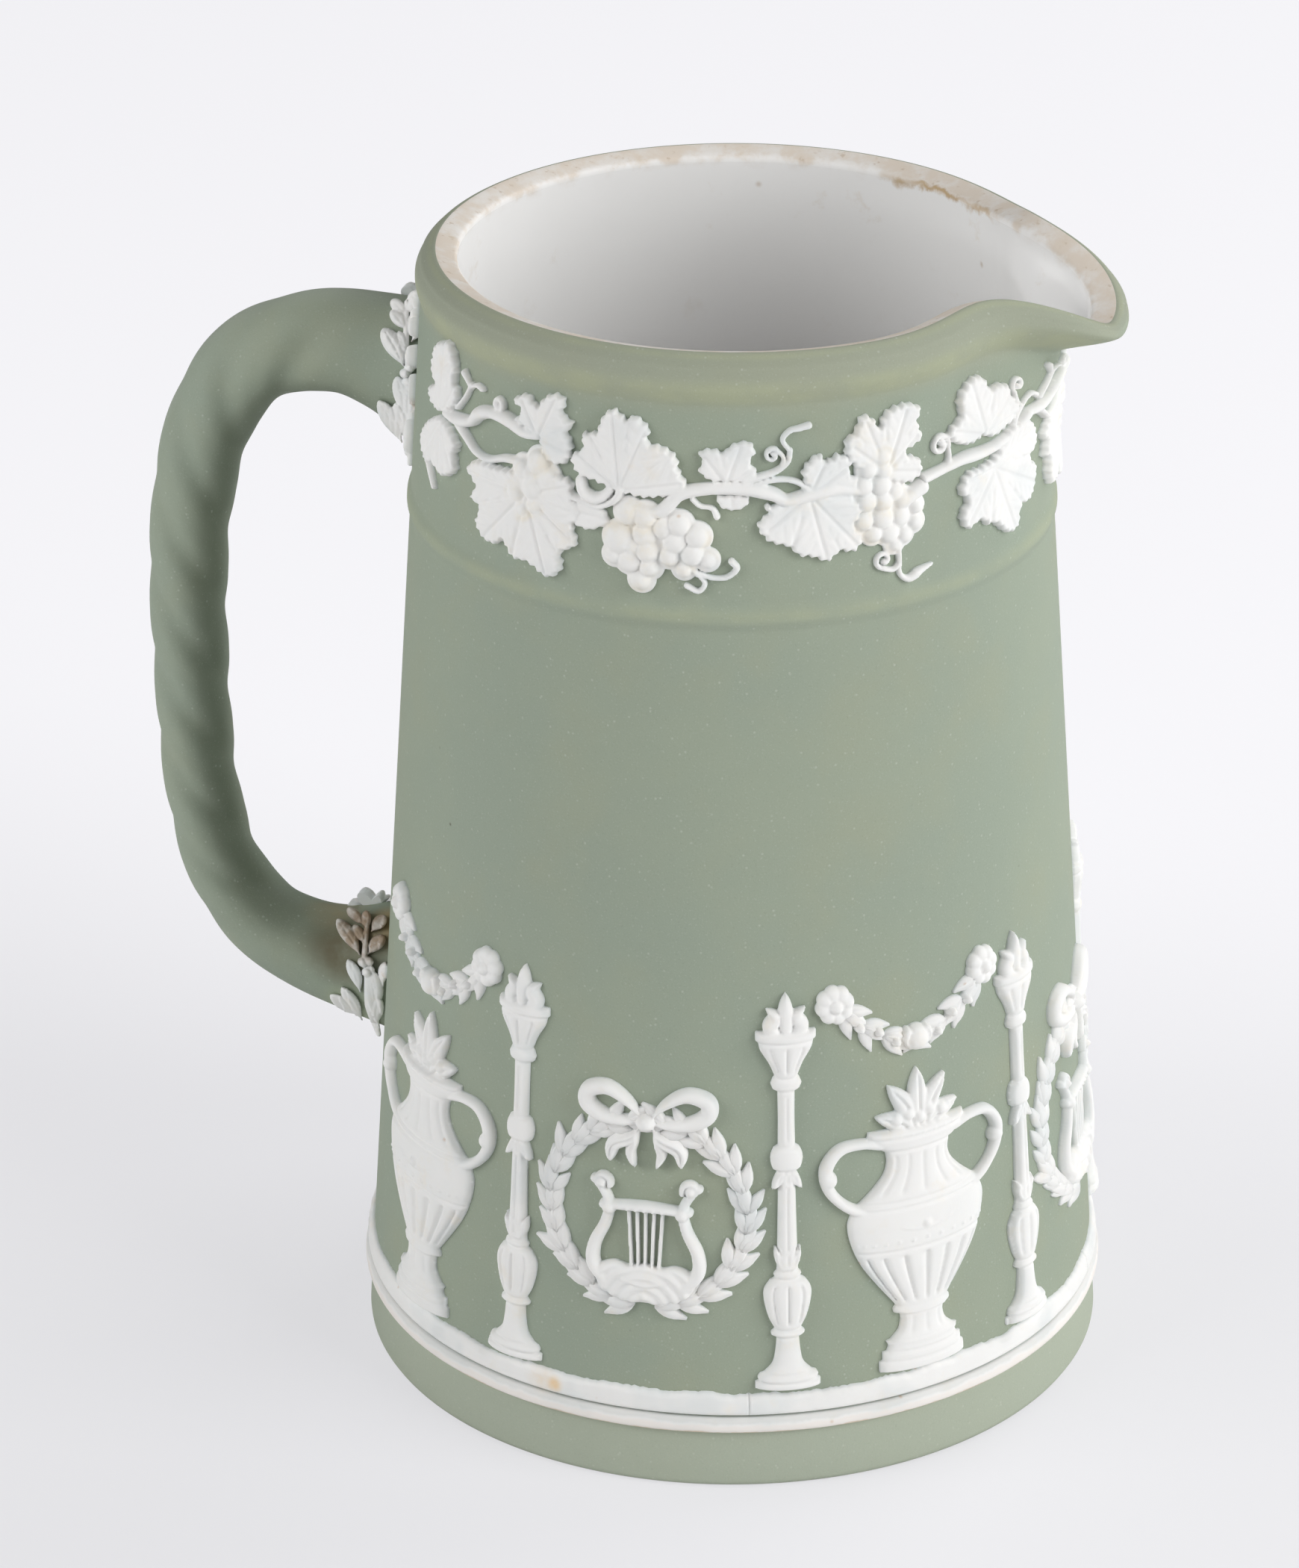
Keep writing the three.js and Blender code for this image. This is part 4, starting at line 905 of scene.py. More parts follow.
def grapes(mould, berries):
    """A bunch: berries pressed close together over a thin bed of clay, stained between them."""
    for x, z, radius in berries:
        ball(mould, x, z, radius + 0.75, 0.85)
    for x, z, radius in berries:
        where, gx, gz = mould.window([(x, z)], radius + 1.2)
        away = np.hypot(gx - x, gz - z) / (radius + 0.4)
        edge = 0.35 * np.exp(-((away - 0.95) / 0.22) ** 2)
        mould.stain(where, 0.3 * smooth_step(away, 1.1, 0.4) + edge)
    for number, (x, z, radius) in enumerate(berries):
        ball(mould, x, z, radius * 1.12, 1.05 + 0.5 * radius + 0.1 * math.sin(2.1 * number), 1.04)


def curled(mould, x, z, radius, start, turns, width=0.75, top=1.0):
    """A tendril's end: a spiral that winds in to its middle."""
    steps = np.linspace(0, 1, 14)
    angle = math.radians(start) + 2 * math.pi * turns * steps
    reach = radius * (1 - 0.72 * steps)
    points = np.stack([x + reach * np.cos(angle), z + reach * np.sin(angle)], axis=1)
    strand(mould, points, [width, width * 0.9, width * 1.3], top, 2)


# %% The start of the vine's mould, and the worn start of the first length


def vine_start(mould):
    strand(mould, [(0.2, 0.4), (2.9, 0.8), (6.8, 1.3), (10.7, 1.1), (14, 1.2), (18.5, 2.2), (20.7, 3.6)],
           [1.5, 1.3, 1.7, 1.4, 1.3, 1.6], 1.55)
    strand(mould, [(3.9, 0.8), (4.7, 2.2), (4.6, 3.7)], [0.8, 0.6], 1.0)
    curled(mould, 3.2, 4.2, 1.5, -10, 1.2)
    vine_leaf(mould, (11.3, 3.4), [
        (10.9, 3.3), (8.2, 3.0), (5.6, 3.9), (4.5, 5.6), (6.7, 7.2), (6.4, 9.0), (7.2, 10.6), (9.5, 11.6),
        (11.2, 10.9), (12.4, 9.2), (14.2, 9.4), (16.2, 8.6), (17.0, 7.0), (18.4, 5.8), (17.6, 3.9),
        (15.3, 3.1), (13.2, 2.6),
    ], [(8.6, 11.0), (5.4, 5.6), (16.6, 8.0), (17.2, 4.6)])
    vine_leaf(mould, (12.9, -1.6), [
        (12.9, -0.4), (10.2, -0.8), (7.8, -0.9), (6.3, -3.0), (7.6, -4.6), (6.4, -6.4), (7.4, -8.6),
        (9.8, -8.0), (11.4, -9.2), (12.8, -9.4), (14.9, -11.3), (17.0, -12.0), (18.4, -11.2), (18.9, -9.2),
        (21.6, -9.0), (23.6, -7.4), (23.9, -4.8), (22.0, -3.4), (23.6, -1.4), (23.2, 0.9), (21.4, 2.6),
        (18.8, 3.0), (16.4, 2.6), (14.4, 0.4),
    ], [(16.9, -11.2), (7.6, -7.6), (7.6, -1.8), (22.9, -7.0), (22.6, 1.2)])
    strand(mould, [(17.4, 2.2), (18.4, 4.1), (20.2, 5.8)], [0.9, 0.6], 1.1)
    strand(mould, [(19.4, 5.0), (18.3, 6.2), (17.6, 7.6)], [0.6, 0.6], 0.9)
    curled(mould, 18.4, 8.4, 1.1, 200, -0.9, 0.65, 0.95)
    strand(mould, [(20.2, 5.8), (21.6, 6.6), (22.8, 6.2)], [0.6, 0.9], 1.0)


def worn_vine_start(mould):
    vine_leaf(mould, (19.4, 2.4), [
        (20.7, 4.0), (18.2, 3.3), (15.8, 3.9), (15.2, 5.6), (17.0, 6.7), (15.8, 8.4), (16.0, 10.8),
        (17.6, 12.8), (19.2, 13.4), (21.0, 14.0), (22.4, 12.6), (23.1, 10.6), (22.7, 8.9), (23.8, 7.6),
        (23.0, 5.4),
    ], [(19.8, 13.2), (16.4, 10.2), (16.2, 4.6), (23.0, 8.0)])
    vine_leaf(mould, (19.6, 2.0), [
        (21.6, 2.3), (18.6, 2.6), (15.6, 1.0), (13.2, -1.8), (13.6, -4.4), (15.6, -5.2), (17.6, -4.5),
        (19.8, -5.3), (22.2, -4.6), (23.8, -3.2), (23.4, -1.2), (24.2, 0.4),
    ], [(14.4, -4.2), (19.6, -5.0), (23.0, -3.2)])
    strand(mould, [(15.4, -4.8), (16.4, -6.4), (17.5, -8.0)], [1.0, 0.7], 1.1)


# %% The rest of the vine


def vine_middle(mould):
    strand(mould, [(23.7, 5.6), (25.4, 7.6), (26.7, 9.8)], [0.8, 0.6], 1.1)
    strand(mould, [(26.5, 9.2), (25.6, 10.2), (24.9, 10.9)], [0.6, 1.0], 1.1)
    strand(mould, [(26.6, 9.4), (27.9, 10.0), (29.1, 9.8)], [0.6, 0.8], 1.0)
    strand(mould, [(20.7, 3.8), (24.0, 4.0), (27.1, 4.8), (28.8, 6.4), (31.4, 7.2), (34.6, 7.1), (37.3, 6.1),
                   (39.6, 6.2)], [1.3, 1.8, 1.5, 2.0, 1.6, 1.9, 1.5, 1.2], 1.75)
    curled(mould, 32.4, 8.8, 1.0, -60, 0.9, 0.8, 1.2)
    strand(mould, [(24.2, 3.4), (26.2, 2.2), (28.4, 0.8), (31.0, 0.6), (34.0, 1.6), (37.0, 2.0)],
           [1.2, 0.9, 1.2], 1.35)
    vine_leaf(mould, (39.9, 6.2), [
        (39.9, 6.0), (38.3, 6.5), (35.8, 7.5), (36.8, 9.0), (35.4, 10.3), (37.6, 11.5), (39.4, 10.4),
        (40.4, 11.6), (42.2, 12.6), (43.7, 11.9), (43.4, 10.1), (45.0, 9.0), (44.2, 7.6), (45.0, 6.0),
        (44.3, 3.6), (42.5, 3.0), (40.8, 3.9),
    ], [(42.4, 11.8), (37.2, 10.6), (36.4, 7.9), (44.2, 4.8)])
    vine_leaf(mould, (38.3, -2.0), [
        (36.2, 0.6), (33.0, 0.2), (29.0, 0.0), (26.8, -1.9), (28.8, -3.6), (28.0, -5.4), (29.8, -6.6),
        (29.2, -8.6), (30.8, -10.6), (33.2, -10.6), (34.6, -9.7), (36.2, -11.6), (38.8, -11.6),
        (41.8, -13.0), (43.8, -11.4), (43.6, -9.2), (45.9, -7.6), (45.4, -5.2), (46.4, -3.0), (45.4, -0.8),
        (45.0, 1.1), (41.8, 1.6),
    ], [(41.6, -12.2), (31.2, -10.0), (28.0, -2.0), (45.2, -6.8), (45.0, 0.4)], LEAF_TOP * 1.1)
    grapes(mould, [(37.3, 1.2, 1.3), (40.0, 2.6, 1.6), (41.3, 1.0, 1.4), (36.5, -2.3, 1.4),
                   (39.2, -1.0, 1.6), (38.3, 0.9, 1.2), (37.6, -4.2, 1.2), (39.6, -3.4, 1.2)])
    vine_leaf(mould, (52.0, 1.1), [
        (51.0, 1.0), (48.4, 1.8), (46.0, 2.4), (44.9, 4.6), (46.6, 6.0), (46.5, 8.0), (48.5, 8.6),
        (49.3, 10.7), (50.8, 12.0), (52.6, 10.9), (54.0, 11.4), (55.8, 9.8), (55.6, 8.0), (57.6, 7.6),
        (59.4, 6.4), (59.9, 4.4), (61.0, 2.4), (60.2, 0.8), (58.0, 0.8), (55.0, 0.4),
    ], [(50.9, 11.2), (46.0, 5.2), (55.4, 9.8), (60.0, 2.8)])
    strand(mould, [(46.4, 1.6), (46.8, 0.2), (48.2, -0.6), (49.6, -0.2), (50.6, 0.9)], [1.4, 1.6, 1.2], 1.7)
    vine_leaf(mould, (44.0, -2.9), [
        (43.6, -3.0), (45.5, -1.6), (47.4, -1.2), (49.4, -1.8), (50.6, -3.6), (49.2, -4.6), (47.6, -5.2),
        (45.4, -4.7),
    ], [(50.2, -3.2)], 1.0, 0.6)
    strand(mould, [(44.2, -0.8), (46.6, -1.2), (48.9, -1.7), (51.2, -0.5), (52.2, 1.2)], [1.0, 0.8, 1.2], 1.5)
    grapes(mould, [(53.2, -1.9, 1.5), (55.5, -2.2, 1.5), (52.1, -5.6, 1.9), (55.4, -4.6, 1.5),
                   (55.8, -6.9, 1.4), (53.4, -8.4, 1.5), (56.1, -9.1, 1.2), (55.0, -11.0, 1.2),
                   (51.3, -8.0, 1.1), (57.8, -3.5, 1.3), (59.9, -3.0, 1.4), (59.4, -5.3, 1.5),
                   (62.2, -4.5, 1.4), (61.7, -6.9, 1.4), (63.6, -7.7, 1.0), (58.7, -7.4, 1.2),
                   (60.6, -9.0, 1.0), (53.8, -6.4, 1.2)])


def vine_end(mould):
    strand(mould, [(60.6, -7.6), (61.4, -8.8), (62.4, -9.9)], [0.7, 0.6], 1.0)
    strand(mould, [(62.3, -9.6), (63.3, -11.0), (62.5, -12.1), (60.9, -11.4)], [0.6, 0.7], 1.0)
    strand(mould, [(62.4, -9.6), (64.2, -10.2), (66.1, -10.1), (67.4, -8.9), (66.7, -7.9)], [0.6, 0.7, 0.9],
           1.0)
    strand(mould, [(53.6, -1.0), (57.4, -1.3), (60.1, 1.3), (64.2, 2.2), (68.7, 2.2), (71.9, 1.4),
                   (73.9, 0.4),
                   (77.0, 1.0), (80.6, 1.4), (84.0, 0.6)], [1.4, 1.9, 1.6, 2.0, 1.6, 1.9, 1.4], 1.75)
    strand(mould, [(61.6, 0.6), (62.6, -0.3), (64.2, -0.6), (64.8, -1.7)], [0.7, 0.6, 0.9], 1.0)
    vine_leaf(mould, (66.0, 2.8), [
        (64.0, 3.2), (62.4, 4.5), (62.9, 5.8), (62.4, 7.1), (64.2, 7.6), (65.6, 7.2), (66.8, 8.2),
        (68.9, 8.6), (69.8, 7.2), (69.1, 5.8), (70.0, 4.4), (68.6, 3.1),
    ], [(67.8, 7.9), (63.2, 6.6), (69.4, 5.0)], 1.15, 0.7)
    vine_leaf(mould, (66.6, 1.6), [(64.6, 1.2), (65.3, -0.4), (67.2, -0.8), (68.7, -0.1), (68.7, 1.2)],
              [(66.8, -0.6)], 1.0, 0.5)
    strand(mould, [(68.4, 3.2), (70.4, 3.8), (72.4, 4.4), (74.0, 5.6), (74.4, 7.2)], [1.0, 0.7], 1.15)
    strand(mould, [(73.2, 4.9), (73.5, 6.2), (72.6, 7.3)], [0.6, 0.6], 0.95)
    curled(mould, 72.0, 6.6, 1.0, 60, 1.0, 0.6, 0.95)
    strand(mould, [(74.4, 7.0), (73.4, 8.6), (74.3, 9.8), (75.6, 10.1), (76.9, 10.4)], [0.6, 0.7, 0.9], 1.0)
    strand(mould, [(69.9, 2.8), (72.5, 3.3), (75.0, 2.9), (77.0, 1.5)], [0.8, 0.7, 0.9], 1.2)
    vine_leaf(mould, (76.7, 1.0), [
        (76.5, 2.0), (75.9, 4.3), (78.0, 6.4), (79.2, 5.4), (80.8, 6.1), (82.6, 5.0), (82.3, 3.4),
        (83.4, 2.2), (82.6, 0.2), (83.9, -1.9), (82.8, -4.0), (83.9, -5.8), (82.9, -7.6), (80.8, -7.3),
        (79.2, -8.5), (77.2, -7.7), (75.4, -7.3), (73.8, -5.9), (71.6, -5.2), (70.0, -3.0), (71.4, -1.2),
        (70.8, -0.2), (73.6, 0.1),
    ], [(79.0, 5.6), (82.0, 4.4), (83.0, -6.6), (78.8, -7.6), (71.4, -3.4)])
    vine_leaf(mould, (87.4, 2.8), [
        (87.0, 1.6), (84.4, 3.0), (82.0, 5.4), (81.9, 8.0), (83.0, 8.6), (84.2, 10.9), (85.8, 10.2),
        (86.6, 8.8), (87.2, 10.3), (88.6, 11.2), (90.9, 11.4), (92.8, 10.4), (92.4, 8.4), (93.0, 6.2),
        (90.4, 4.7), (92.6, 3.4), (92.8, 1.4), (90.6, 0.5),
    ], [(84.6, 10.0), (82.8, 6.8), (90.4, 10.6), (92.0, 6.8), (92.0, 1.9)])
    grapes(mould, [(87.0, 4.8, 1.1), (84.9, 3.4, 1.1), (87.1, 2.9, 1.2), (84.2, 1.2, 1.2),
                   (86.7, 1.0, 1.3), (88.6, -0.3, 1.2), (84.6, -1.0, 1.3), (87.0, -1.3, 1.3),
                   (89.9, -1.7, 1.2), (84.2, -3.6, 1.2), (86.8, -3.6, 1.4), (89.4, -3.9, 1.3),
                   (85.5, -5.6, 1.1), (87.7, -5.8, 1.3), (91.7, -5.2, 1.0), (89.9, -6.5, 1.1),
                   (91.8, -3.0, 0.9), (88.6, -7.6, 0.9)])
    strand(mould, [(90.0, -1.8), (91.6, -1.1), (92.8, -0.6)], [2.0, 2.2], 1.7)
    strand(mould, [(88.9, -7.2), (89.2, -9.0), (89.3, -10.7)], [0.8, 0.6], 1.1)
    strand(mould, [(89.3, -10.4), (88.3, -11.2), (86.8, -10.8)], [0.6, 0.7], 1.0)
    curled(mould, 87.0, -9.6, 1.2, 240, -0.9, 0.65, 0.95)
    strand(mould, [(89.3, -10.6), (89.4, -12.1), (90.6, -13.0), (92.3, -12.3), (94.4, -11.8)],
           [0.6, 0.7, 1.3, 0.4], 1.1)


# %% Casting the three lengths
VINE_HEIGHT = 145.0
VINE_ROW = {
    "vine_sprig_1": (-146.85, 12.0, 94.6, worn_vine_start),
    "vine_sprig_2": (-39.9, 0.0, 94.6, vine_start),
    "vine_sprig_3": (82.9, 0.0, 58.5, vine_start),
}

vine_gauge = wall_radius(VINE_HEIGHT)
for node, (turn, start, end, first_leaves) in VINE_ROW.items():
    mould = Mould(start - 0.4, end + 0.6, -14.2, 14.8)
    first_leaves(mould)
    vine_middle(mould)
    if end > 60:
        vine_end(mould)
    gx, gz = np.meshgrid(mould.x, mould.z)
    if end < 60:
        mould.trim(end - gx - 0.25 * np.sin(1.3 * gz))
    mould.trim(gx - start + 0.15 * np.sin(2.1 * gz))
    centre = math.radians(turn) - start / vine_gauge
    sprig = cast(mould, node + "_clay", round_the_wall(centre, VINE_HEIGHT, vine_gauge), white)
    settle(sprig, "white_relief", node)

# %% [markdown]
# ## The roped handle
#
# The handle is a loop of clay with three strands, twisted like a rope, and it spreads where
# it meets the wall. Its shape follows a rule all along, which is what Geometry Nodes are
# for: a curve gives the way, a circle is swept along it, and Set Position then moves every
# point to the rule's place. The thickness, the width and the twist are inputs of the tree,
# so the rope can be made slimmer or tighter with one number.

# %% The handle's way, in millimetres
HANDLE_HEIGHT = 141.5
HANDLE_CROWN = 146.1
HANDLE_CROWN_SHIFT = -1.5
HANDLE_SHOULDER = 149.0
HANDLE_WAIST = 96.6
HANDLE_LOWER_BEND = 67.8
HANDLE_LOWER_TURN = 44.4
HANDLE_FOOT = 49.6
HANDLE_REACH = 80.8
ROOT_SINK = 1.5


def bezier(points, steps):
    """Points on a cubic curve with four guide points."""
    a, b, c, d = np.array(points, float)[:, None, :]
    t = np.linspace(0, 1, steps)[:, None]
    return a * (1 - t) ** 3 + 3 * b * t * (1 - t) ** 2 + 3 * c * t * t * (1 - t) + d * t ** 3


def handle_way():
    root = wall_radius(HANDLE_HEIGHT)
    crown = ((root + HANDLE_REACH) / 2 + HANDLE_CROWN_SHIFT, HANDLE_CROWN)
    foot = (wall_radius(HANDLE_FOOT) - ROOT_SINK, HANDLE_FOOT)
    upper = bezier([(root - ROOT_SINK, HANDLE_HEIGHT), crown, (HANDLE_REACH, HANDLE_SHOULDER),
                    (HANDLE_REACH, HANDLE_WAIST)], 120)
    lower = bezier([(HANDLE_REACH, HANDLE_WAIST), (HANDLE_REACH, HANDLE_LOWER_BEND),
                    (HANDLE_REACH, HANDLE_LOWER_TURN), foot], 120)
    return np.vstack([upper, lower[1:]])


# half sizes, and the lengths over which what a part adds dies away
HANDLE_SIZES = {
    "Half thickness": 4.75, "Half width": 6.2, "Taper inside": 1.5, "Taper outside": 5.4,
    "Taper length": 45.0, "Throat": 8.5, "Throat length": 5.0, "Foot inside": 4.0, "Foot outside": 9.2,
    "Side flare": 2.25, "Spread length": 12.0,
}
ROPE_PITCH, ROPE_START, ROPE_STRANDS, ROPE_GROOVE = 38.0, 0.41, 3.0, 0.95
ROPE_STEPS, ROPE_FACETS = 460, 108

way = handle_way()
way_length = float(np.hypot(*np.diff(way, axis=0).T).sum())
print("the handle is", round(way_length, 1), "mm long")

# %% Node helpers for geometry


def value_input(tree, name, value):
    socket = tree.interface.new_socket(name, in_out="INPUT", socket_type="NodeSocketFloat")
    socket.default_value = value
    return socket.identifier


def vector_maths(tree, operation, first, second=None, scale=None):
    node = add(tree, "ShaderNodeVectorMath", {0: first, 1: second, "Scale": scale}, operation=operation)
    return node.outputs["Value" if operation == "LENGTH" else "Vector"]


def vector(tree, x=None, y=None, z=None):
    return add(tree, "ShaderNodeCombineXYZ", {0: x, 1: y, 2: z}).outputs[0]


def kept_on(tree, geometry, value, kind):
    """Keeps a value with the points, so that it is still there after a sweep."""
    node = tree.nodes.new("GeometryNodeCaptureAttribute")
    node.capture_items.new(kind, "kept")
    tree.links.new(geometry, node.inputs["Geometry"])
    tree.links.new(value, node.inputs["kept"])
    return node.outputs["Geometry"], node.outputs["kept"]


def stored(tree, geometry, name, value):
    """Writes a value on the points under a name, where a material can read it."""
    inputs = {"Name": name, "Geometry": geometry, "Value": value}
    return add(tree, "GeometryNodeStoreNamedAttribute", inputs, data_type="FLOAT", domain="POINT").outputs[0]


def moved_to(tree, geometry, place):
    return add(tree, "GeometryNodeSetPosition", {"Geometry": geometry, "Position": place}).outputs[0]


def new_tree(name):
    tree = bpy.data.node_groups.new(name, "GeometryNodeTree")
    for in_out in ("INPUT", "OUTPUT"):
        tree.interface.new_socket("Geometry", in_out=in_out, socket_type="NodeSocketGeometry")
    return tree, tree.nodes.new("NodeGroupInput"), tree.nodes.new("NodeGroupOutput")


def finished_with(tree, geometry, output, material):
    """Ends a tree with real geometry, smooth shading and its finish."""
    real = add(tree, "GeometryNodeRealizeInstances", {0: geometry})
    smooth = add(tree, "GeometryNodeSetShadeSmooth", {"Geometry": real.outputs[0]})
    dressed = add(tree, "GeometryNodeSetMaterial", {"Geometry": smooth.outputs[0], "Material": material})
    tree.links.new(dressed.outputs[0], output.inputs[0])


def grown(name, start_object, tree, values=()):
    """Runs a tree on an object and keeps the result as a plain mesh object."""
    modifier = start_object.modifiers.new("grow", "NODES")
    modifier.node_group = tree
    for identifier, value in values:
        modifier[identifier] = value
    bpy.context.view_layer.update()
    evaluated = start_object.evaluated_get(bpy.context.evaluated_depsgraph_get())
    mesh = bpy.data.meshes.new_from_object(evaluated)
    mesh.name = name
    piece = new_object(name, mesh)
    bpy.data.objects.remove(start_object)
    return piece


def guide_curve(name, points):
    """A poly curve through points in metres."""
    data = bpy.data.curves.new(name, "CURVE")
    data.dimensions = "3D"
    spline = data.splines.new("POLY")
    spline.points.add(len(points) - 1)
    for target, point in zip(spline.points, points):
        target.co = (*point, 1.0)
    return new_object(name, data)


# %% The rope's rule as a tree
def rope_tree(length, material):
    tree, start, end = new_tree("roped_handle")
    for name, size in HANDLE_SIZES.items():
        value_input(tree, name, size * MM)
    value_input(tree, "Rope pitch", ROPE_PITCH * MM)
    value_input(tree, "Rope start", ROPE_START)
    value_input(tree, "Groove", ROPE_GROOVE * MM)
    given = {socket.name: socket for socket in start.outputs}
    evenly = add(tree, "GeometryNodeResampleCurve", {"Count": ROPE_STEPS, "Curve": given["Geometry"]})
    position = add(tree, "GeometryNodeInputPosition").outputs[0]
    tangent = add(tree, "GeometryNodeInputTangent").outputs[0]
    path, middle = kept_on(tree, evenly.outputs[0], position, "VECTOR")
    path, along = kept_on(tree, path, tangent, "VECTOR")
    path, share = kept_on(tree, path, add(tree, "GeometryNodeSplineParameter").outputs["Factor"], "FLOAT")
    circle = add(tree, "GeometryNodeCurvePrimitiveCircle", {"Resolution": ROPE_FACETS}).outputs[0]
    ring, turn = kept_on(tree, circle, add(tree, "GeometryNodeSplineParameter").outputs["Factor"], "FLOAT")
    sweep = add(tree, "GeometryNodeCurveToMesh", {"Fill Caps": True, "Curve": path, "Profile Curve": ring})

    # what each part adds dies away along the handle
    def fading(distance, length_name):
        lengths = maths(tree, "DIVIDE", times(tree, distance, -length), given[length_name])
        return maths(tree, "EXPONENT", lengths)

    def grown_by(total, *parts):
        for size_name, fade_away in parts:
            total = plus(tree, total, times(tree, given[size_name], fade_away))
        return total

    rest = minus(tree, 1.0, share)
    taper, throat = fading(share, "Taper length"), fading(share, "Throat length")
    top_end, foot_end = fading(share, "Spread length"), fading(rest, "Spread length")
    inner = grown_by(given["Half thickness"], ("Taper inside", taper), ("Throat", throat),
                     ("Foot inside", foot_end))
    outer = grown_by(given["Half thickness"], ("Taper outside", taper), ("Foot outside", foot_end))
    wide = grown_by(given["Half width"], ("Side flare", top_end), ("Side flare", foot_end))

    # the groove is deepest where two strands meet, and shallower on the silhouette
    angle = times(tree, turn, 2 * math.pi)
    cosine, sine = maths(tree, "COSINE", angle), maths(tree, "SINE", angle)
    twist = maths(tree, "DIVIDE", times(tree, share, 2 * math.pi * length), given["Rope pitch"])
    turned = plus(tree, plus(tree, angle, twist), given["Rope start"])
    wave = maths(tree, "COSINE", times(tree, turned, ROPE_STRANDS))
    valley = maths(tree, "POWER", times(tree, minus(tree, 1.0, wave), 0.5), 1.7)
    fade = times(tree, ramp(tree, share, 0.04, 0.15), ramp(tree, rest, 0.09, 0.26))
    flank = plus(tree, 0.35, times(tree, maths(tree, "POWER", sine, 2.0), 0.65))
    fade = times(tree, fade, flank)
    drop = times(tree, times(tree, given["Groove"], valley), fade)
    towards = times(tree, plus(tree, cosine, 1.0), 0.5)
    thick = plus(tree, outer, times(tree, minus(tree, inner, outer), towards))
    half_thick, half_wide = minus(tree, thick, drop), minus(tree, wide, drop)
    inward = vector_maths(tree, "CROSS_PRODUCT", (0.0, -1.0, 0.0), along)
    lifted = vector_maths(tree, "SCALE", inward, scale=times(tree, half_thick, cosine))
    sideways = vector(tree, y=times(tree, times(tree, half_wide, sine), -1.0))
    place = vector_maths(tree, "ADD", vector_maths(tree, "ADD", middle, lifted), sideways)

    # both ends are drawn onto the wall, and no point reaches through it
    height = split(tree, place)["Z"]
    flat = vector_maths(tree, "MULTIPLY", place, (1.0, 1.0, 0.0))
    seat = minus(tree, (BASE_RADIUS - ROOT_SINK) * MM, times(tree, height, WALL_TAPER))
    to_seat = maths(tree, "DIVIDE", seat, vector_maths(tree, "LENGTH", flat))
    ends = (ramp(tree, way_off, 0.0, 0.032, 1.0, 0.0) for way_off in (share, rest))
    near_end = maths(tree, "MAXIMUM", *ends)
    pulled = plus(tree, times(tree, minus(tree, to_seat, 1.0), near_end), 1.0)
    seated = vector_maths(tree, "SCALE", flat, scale=maths(tree, "MAXIMUM", to_seat, pulled))
    rope = moved_to(tree, sweep.outputs[0], vector_maths(tree, "ADD", seated, vector(tree, z=height)))
    # valley and grip let the green finish paint shade in the rope's grooves and on the side facing the body,
    # and paint light on the side away from it
    rope = stored(tree, rope, "valley", times(tree, valley, fade))
    rope = stored(tree, rope, "grip", maths(tree, "COSINE", minus(tree, angle, 0.6)))
    finished_with(tree, rope, end, material)
    return tree


# %% Growing the handle
guide = guide_curve("handle_way", [(-reach * MM, 0.0, height * MM) for reach, height in way])
handle = grown("handle_clay", guide, rope_tree(way_length * MM, green))
settle(handle, "green_stoneware", "handle")

# %% [markdown]
# ## The moulding and the ground strip
#
# A white moulding runs round above the foot, and the frieze stands on a strip of white
# ground above it. Both were cut from a pressed strip, so their section is the same all the
# way round, but a hand stuck them on: the ground's upper edge wavers. A section swept round
# the wall's formula makes both. The ground strip's section changes with the angle.

# %% Sweeping a section round the wall
STRIP_STEP = math.radians(0.45)


def swept_ring(name, section_at, angles, finish, closed):
    """A ring of sections; section_at(angle) gives relief and height pairs, from below outward."""
    sections = [np.array(section_at(angle)) for angle in angles]
    size = len(sections[0])
    points = np.vstack([on_body(angle, wall_radius(s[:, 1]) + s[:, 0], s[:, 1])
                        for angle, s in zip(angles, sections)])
    lift = np.concatenate([s[:, 0] for s in sections])
    index = np.arange(len(points)).reshape(len(angles), size)
    here, ahead = (index, np.roll(index, -1, axis=0)) if closed else (index[:-1], index[1:])
    quads = np.stack([here, ahead, np.roll(ahead, -1, axis=1), np.roll(here, -1, axis=1)], axis=-1)
    faces = [tuple(q) for q in quads.reshape(-1, 4).tolist()]
    if not closed:
        faces += [tuple(index[0].tolist()), tuple(index[-1][::-1].tolist())]
    piece = make_piece(name, points, faces, finish)
    keep_on_points(piece.data, "lift", lift)
    return piece


def waver(angle, seed):
    """A slow uneven wave between -1 and 1 that closes round the jug."""
    return (math.sin(7 * angle + seed) + 0.6 * math.sin(17 * angle + 2.1 * seed + 1)
            + 0.35 * math.sin(41 * angle + 3.3 * seed) + 0.22 * math.sin(83 * angle + seed)) / 2.17


# %% The moulding
BAND_LOW, BAND_HIGH, BAND_RELIEF = 9.0, 11.3, 1.1


def band_section(angle):
    shake = 0.07 * waver(angle, 0.7)
    high = BAND_HIGH + shake
    return [(-0.5, BAND_LOW), (0.55, BAND_LOW - 0.02), (0.85, BAND_LOW + 0.12), (1.04, BAND_LOW + 0.38),
            (BAND_RELIEF, BAND_LOW + 0.75), (1.05, BAND_LOW + 1.2), (0.9, high - 0.55), (0.78, high - 0.22),
            (0.58, high - 0.04), (0.3, high), (-0.5, high)]


all_round = np.arange(-math.pi, math.pi - 1e-6, 2 * math.pi / 800)
band = swept_ring("base_moulding", band_section, all_round, white, True)
settle(band, "white_relief", "base_band")

